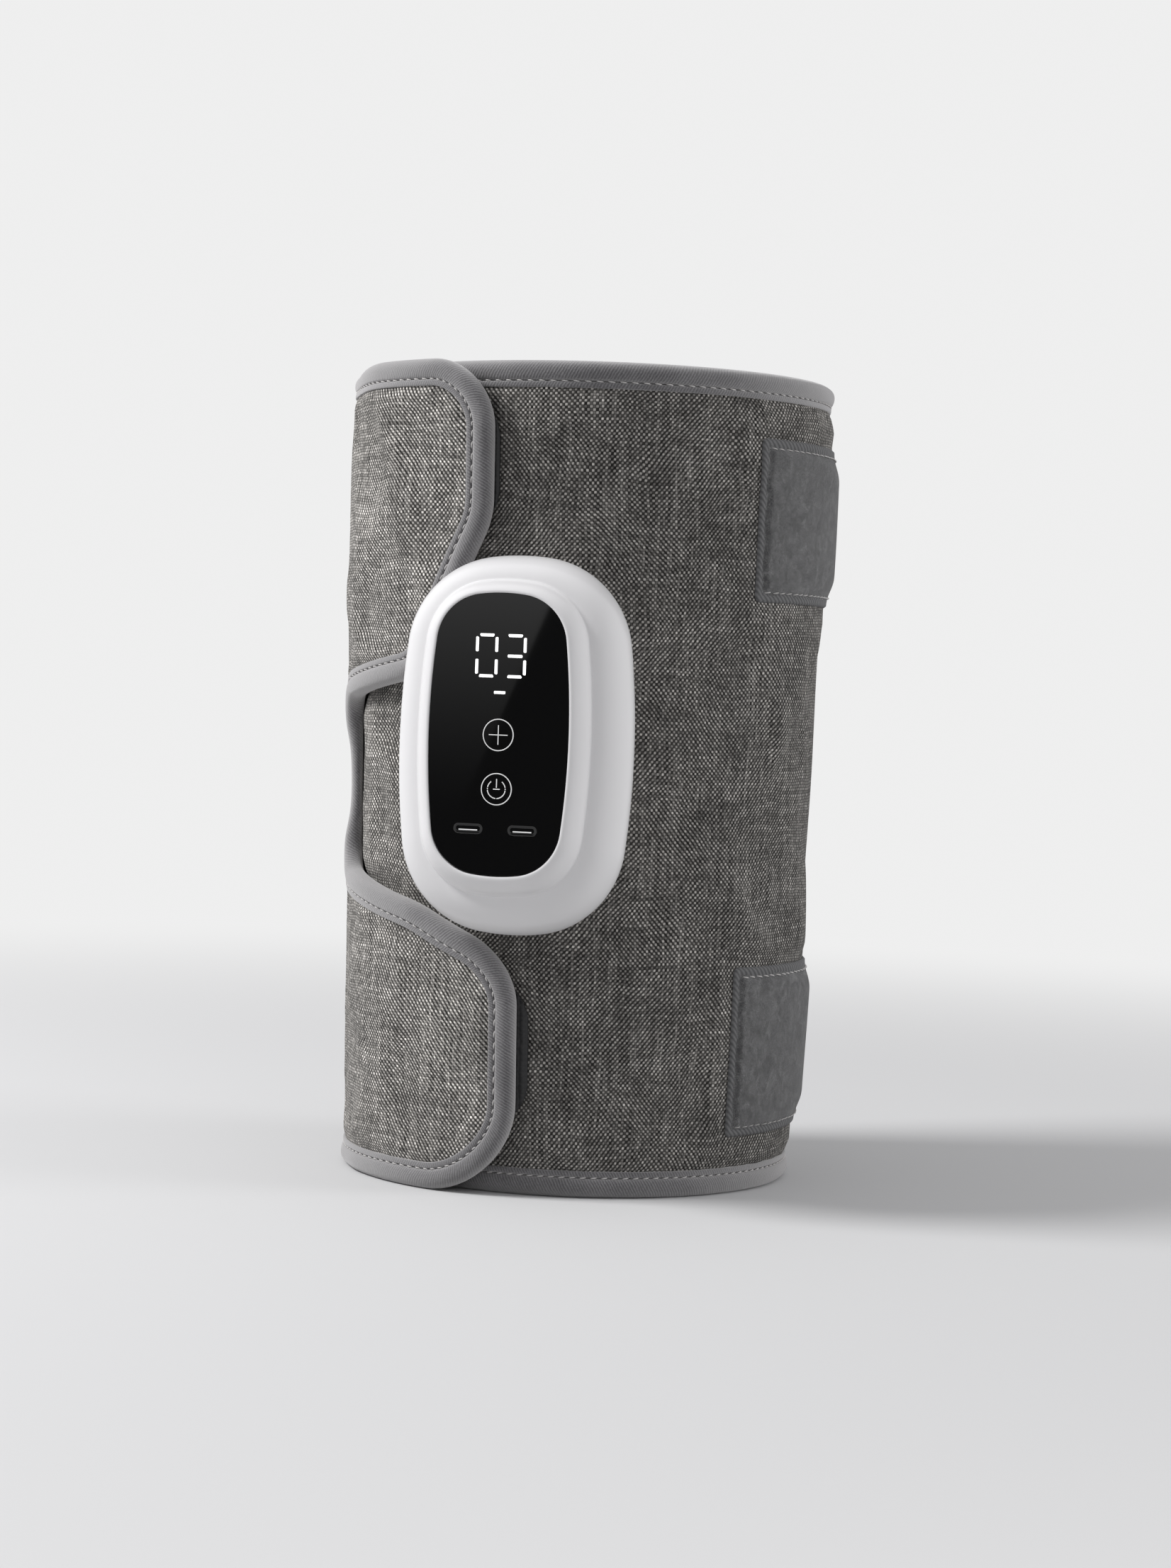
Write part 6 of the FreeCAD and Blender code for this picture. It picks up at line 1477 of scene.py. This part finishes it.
# Each lamp's name, direction round and up, distance, size and level.
LIGHTS = (("key light", -64.0, 42.0, 1.5, 0.5, 0.83), ("edge light", 102.0, 14.0, 1.6, 0.8, 0.33))
CARD_DISTANCE, CARD_LIGHT = 1.1, 0.05
CARD_LEFT, CARD_RIGHT, CARD_LOW, CARD_HIGH = -0.43, -0.22, 0.0, 0.28
CARD_EDGE, CARD_EDGE_HALF = ((-0.2892, 0.1888), (-0.3275, 0.0997)), 0.001
CARD_FADE, CARD_FADE_POWER = (0.057, 0.21), 1.7


def seen_rays(holder):
    """1 where the camera looks, straight, in a mirror or through glass, and 0 for light on its way."""
    rays = holder.node_tree.nodes.new("ShaderNodeLightPath").outputs
    beyond = maths(holder, "MAXIMUM", rays["Is Glossy Ray"], rays["Is Transmission Ray"])
    return maths(holder, "MAXIMUM", rays["Is Camera Ray"], beyond)


def show(holder, output, end="Material Output"):
    """Makes an output the surface that is rendered."""
    holder.node_tree.links.new(output, holder.node_tree.nodes[end].inputs["Surface"])


def flat_sheet(name, corners, finish):
    """A flat sheet through four corners."""
    mesh = bpy.data.meshes.new(name)
    mesh.from_pydata(corners, [], [(0, 1, 2, 3)])
    mesh.materials.append(finish)
    sheet = bpy.data.objects.new(name, mesh)
    bpy.context.scene.collection.objects.link(sheet)
    return sheet


floor_finish = new_finish("floor", FLOOR_COLOUR, 0.9)
floor_spot = node_out(floor_finish, "TexCoord", {}, "Object")
floor_reach = node_out(floor_finish, "VectorMath", {0: floor_spot}, "Value", operation="LENGTH")
floor_far = spread(floor_finish, floor_reach, 0.0, 1.0, *FLOOR_FADE, "SMOOTHSTEP")
floor_seen = seen_rays(floor_finish)
floor_bounce = node_out(floor_finish, "BsdfDiffuse", {"Color": FLOOR_BOUNCE})
floor_own = floor_finish.node_tree.nodes["Principled BSDF"].outputs[0]
floor_near = node_out(floor_finish, "MixShader", {0: floor_seen, 1: floor_bounce, 2: floor_own})
floor_glow = node_out(floor_finish, "Emission", {"Color": WHITE_LIGHT, "Strength": BACKGROUND})
floor_faded = maths(floor_finish, "MULTIPLY", floor_far, floor_seen)
show(floor_finish, node_out(floor_finish, "MixShader", {0: floor_faded, 1: floor_near, 2: floor_glow}))
floor = flat_sheet("floor", [(x * FLOOR_HALF, y * FLOOR_HALF, 0)
                             for x, y in ((-1, -1), (1, -1), (1, 1), (-1, 1))], floor_finish)

world = bpy.data.worlds.new("studio")
world.use_nodes = True
bpy.context.scene.world = world
lit = world.node_tree.nodes["Background"]
lit.inputs["Color"].default_value = (ROUND_LIGHT, ROUND_LIGHT, ROUND_LIGHT * ROUND_TINT, 1)
shown = node_out(world, "Background", {"Color": (BACKGROUND, BACKGROUND, BACKGROUND, 1)})
either = node_out(world, "MixShader", {0: seen_rays(world), 1: lit.outputs[0], 2: shown})
show(world, either, "World Output")

aim = Vector((0, 0, WRAP_HEIGHT / 2 * MILLIMETRE))
for name, azimuth, elevation, distance, size, level in LIGHTS:
    lamp = bpy.data.lights.new(name, "AREA")
    lamp.shape, lamp.size = "DISK", size
    lamp.energy = level * np.pi ** 2 * distance ** 2
    holder = bpy.data.objects.new(name, lamp)
    plan = outward(azimuth) * np.cos(np.radians(elevation))
    way = Vector((*plan, np.sin(np.radians(elevation))))
    holder.location = aim + way * distance
    holder.rotation_euler = way.to_track_quat("Z", "Y").to_euler()
    holder.visible_camera = holder.visible_glossy = False
    bpy.context.scene.collection.objects.link(holder)

card_finish = bpy.data.materials.new("dark card")
card_finish.use_nodes = True
card_finish.node_tree.nodes.remove(card_finish.node_tree.nodes["Principled BSDF"])
card_place = node_out(card_finish, "TexCoord", {}, "Object")
card_spot = node_out(card_finish, "SeparateXYZ", {0: card_place}).node.outputs
(edge_x, edge_z), (edge_low_x, edge_low_z) = CARD_EDGE
edge_lean = (edge_x - edge_low_x) / (edge_z - edge_low_z)
card_line = maths(card_finish, "MULTIPLY_ADD", card_spot[2], edge_lean, edge_x - edge_lean * edge_z)
past_edge = maths(card_finish, "SUBTRACT", card_spot[0], card_line)
right_side = spread(card_finish, past_edge, 0.0, 1.0, -CARD_EDGE_HALF, CARD_EDGE_HALF)
high_side = spread(card_finish, card_spot[2], 0.0, 1.0, *CARD_FADE)
low_side = maths(card_finish, "SUBTRACT", 1.0, maths(card_finish, "POWER", high_side, CARD_FADE_POWER))
card_cover = maths(card_finish, "MAXIMUM", right_side, low_side)
card_clear = node_out(card_finish, "BsdfTransparent", {})
card_dark = node_out(card_finish, "Emission", {"Strength": CARD_LIGHT})
show(card_finish, node_out(card_finish, "MixShader", {0: card_cover, 1: card_clear, 2: card_dark}))
card_corners = ((CARD_LEFT, CARD_HIGH), (CARD_RIGHT, CARD_HIGH),
                (CARD_RIGHT, CARD_LOW), (CARD_LEFT, CARD_LOW))
card = flat_sheet("dark card", [(x, -CARD_DISTANCE, z) for x, z in card_corners], card_finish)
card.visible_camera = card.visible_diffuse = card.visible_shadow = False
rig.stage(floor, card)

# Camera: set where the photo was taken, a little above the middle of the wrap and to the right of the
# controller, and rolled by two degrees.

CAMERA_AZIMUTH, CAMERA_ELEVATION, CAMERA_ROLL = 16.013, 1.99, 2.045
CAMERA_DISTANCE, CAMERA_SIDE, CAMERA_AIM_HEIGHT, CAMERA_LENS = 1.0, -0.001622, 0.117257, 74.99

azimuth, elevation = np.radians(CAMERA_AZIMUTH), np.radians(CAMERA_ELEVATION)
camera_right = Vector((np.cos(azimuth), np.sin(azimuth), 0))
camera_back = Vector((*(outward(CAMERA_AZIMUTH) * np.cos(elevation)), np.sin(elevation)))
camera_up = camera_back.cross(camera_right)
turn = Matrix.Rotation(np.radians(CAMERA_ROLL), 3, camera_back)
camera_data = bpy.data.cameras.new("photo camera")
camera_data.lens = CAMERA_LENS
camera = bpy.data.objects.new("photo camera", camera_data)
bpy.context.scene.collection.objects.link(camera)
axes = Matrix((turn @ camera_right, turn @ camera_up, camera_back)).transposed().to_4x4()
spot = Vector((0, 0, CAMERA_AIM_HEIGHT)) + camera_right * CAMERA_SIDE + camera_back * CAMERA_DISTANCE
camera.matrix_world = Matrix.Translation(spot) @ axes
bpy.context.scene.camera = camera
bpy.context.scene.view_settings.view_transform = "Standard"

with open("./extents.json", "w") as sizes:
    json.dump({"load": [list(corner) for corner in size_at_load], "final": [list(corner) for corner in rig.bounds()]}, sizes)
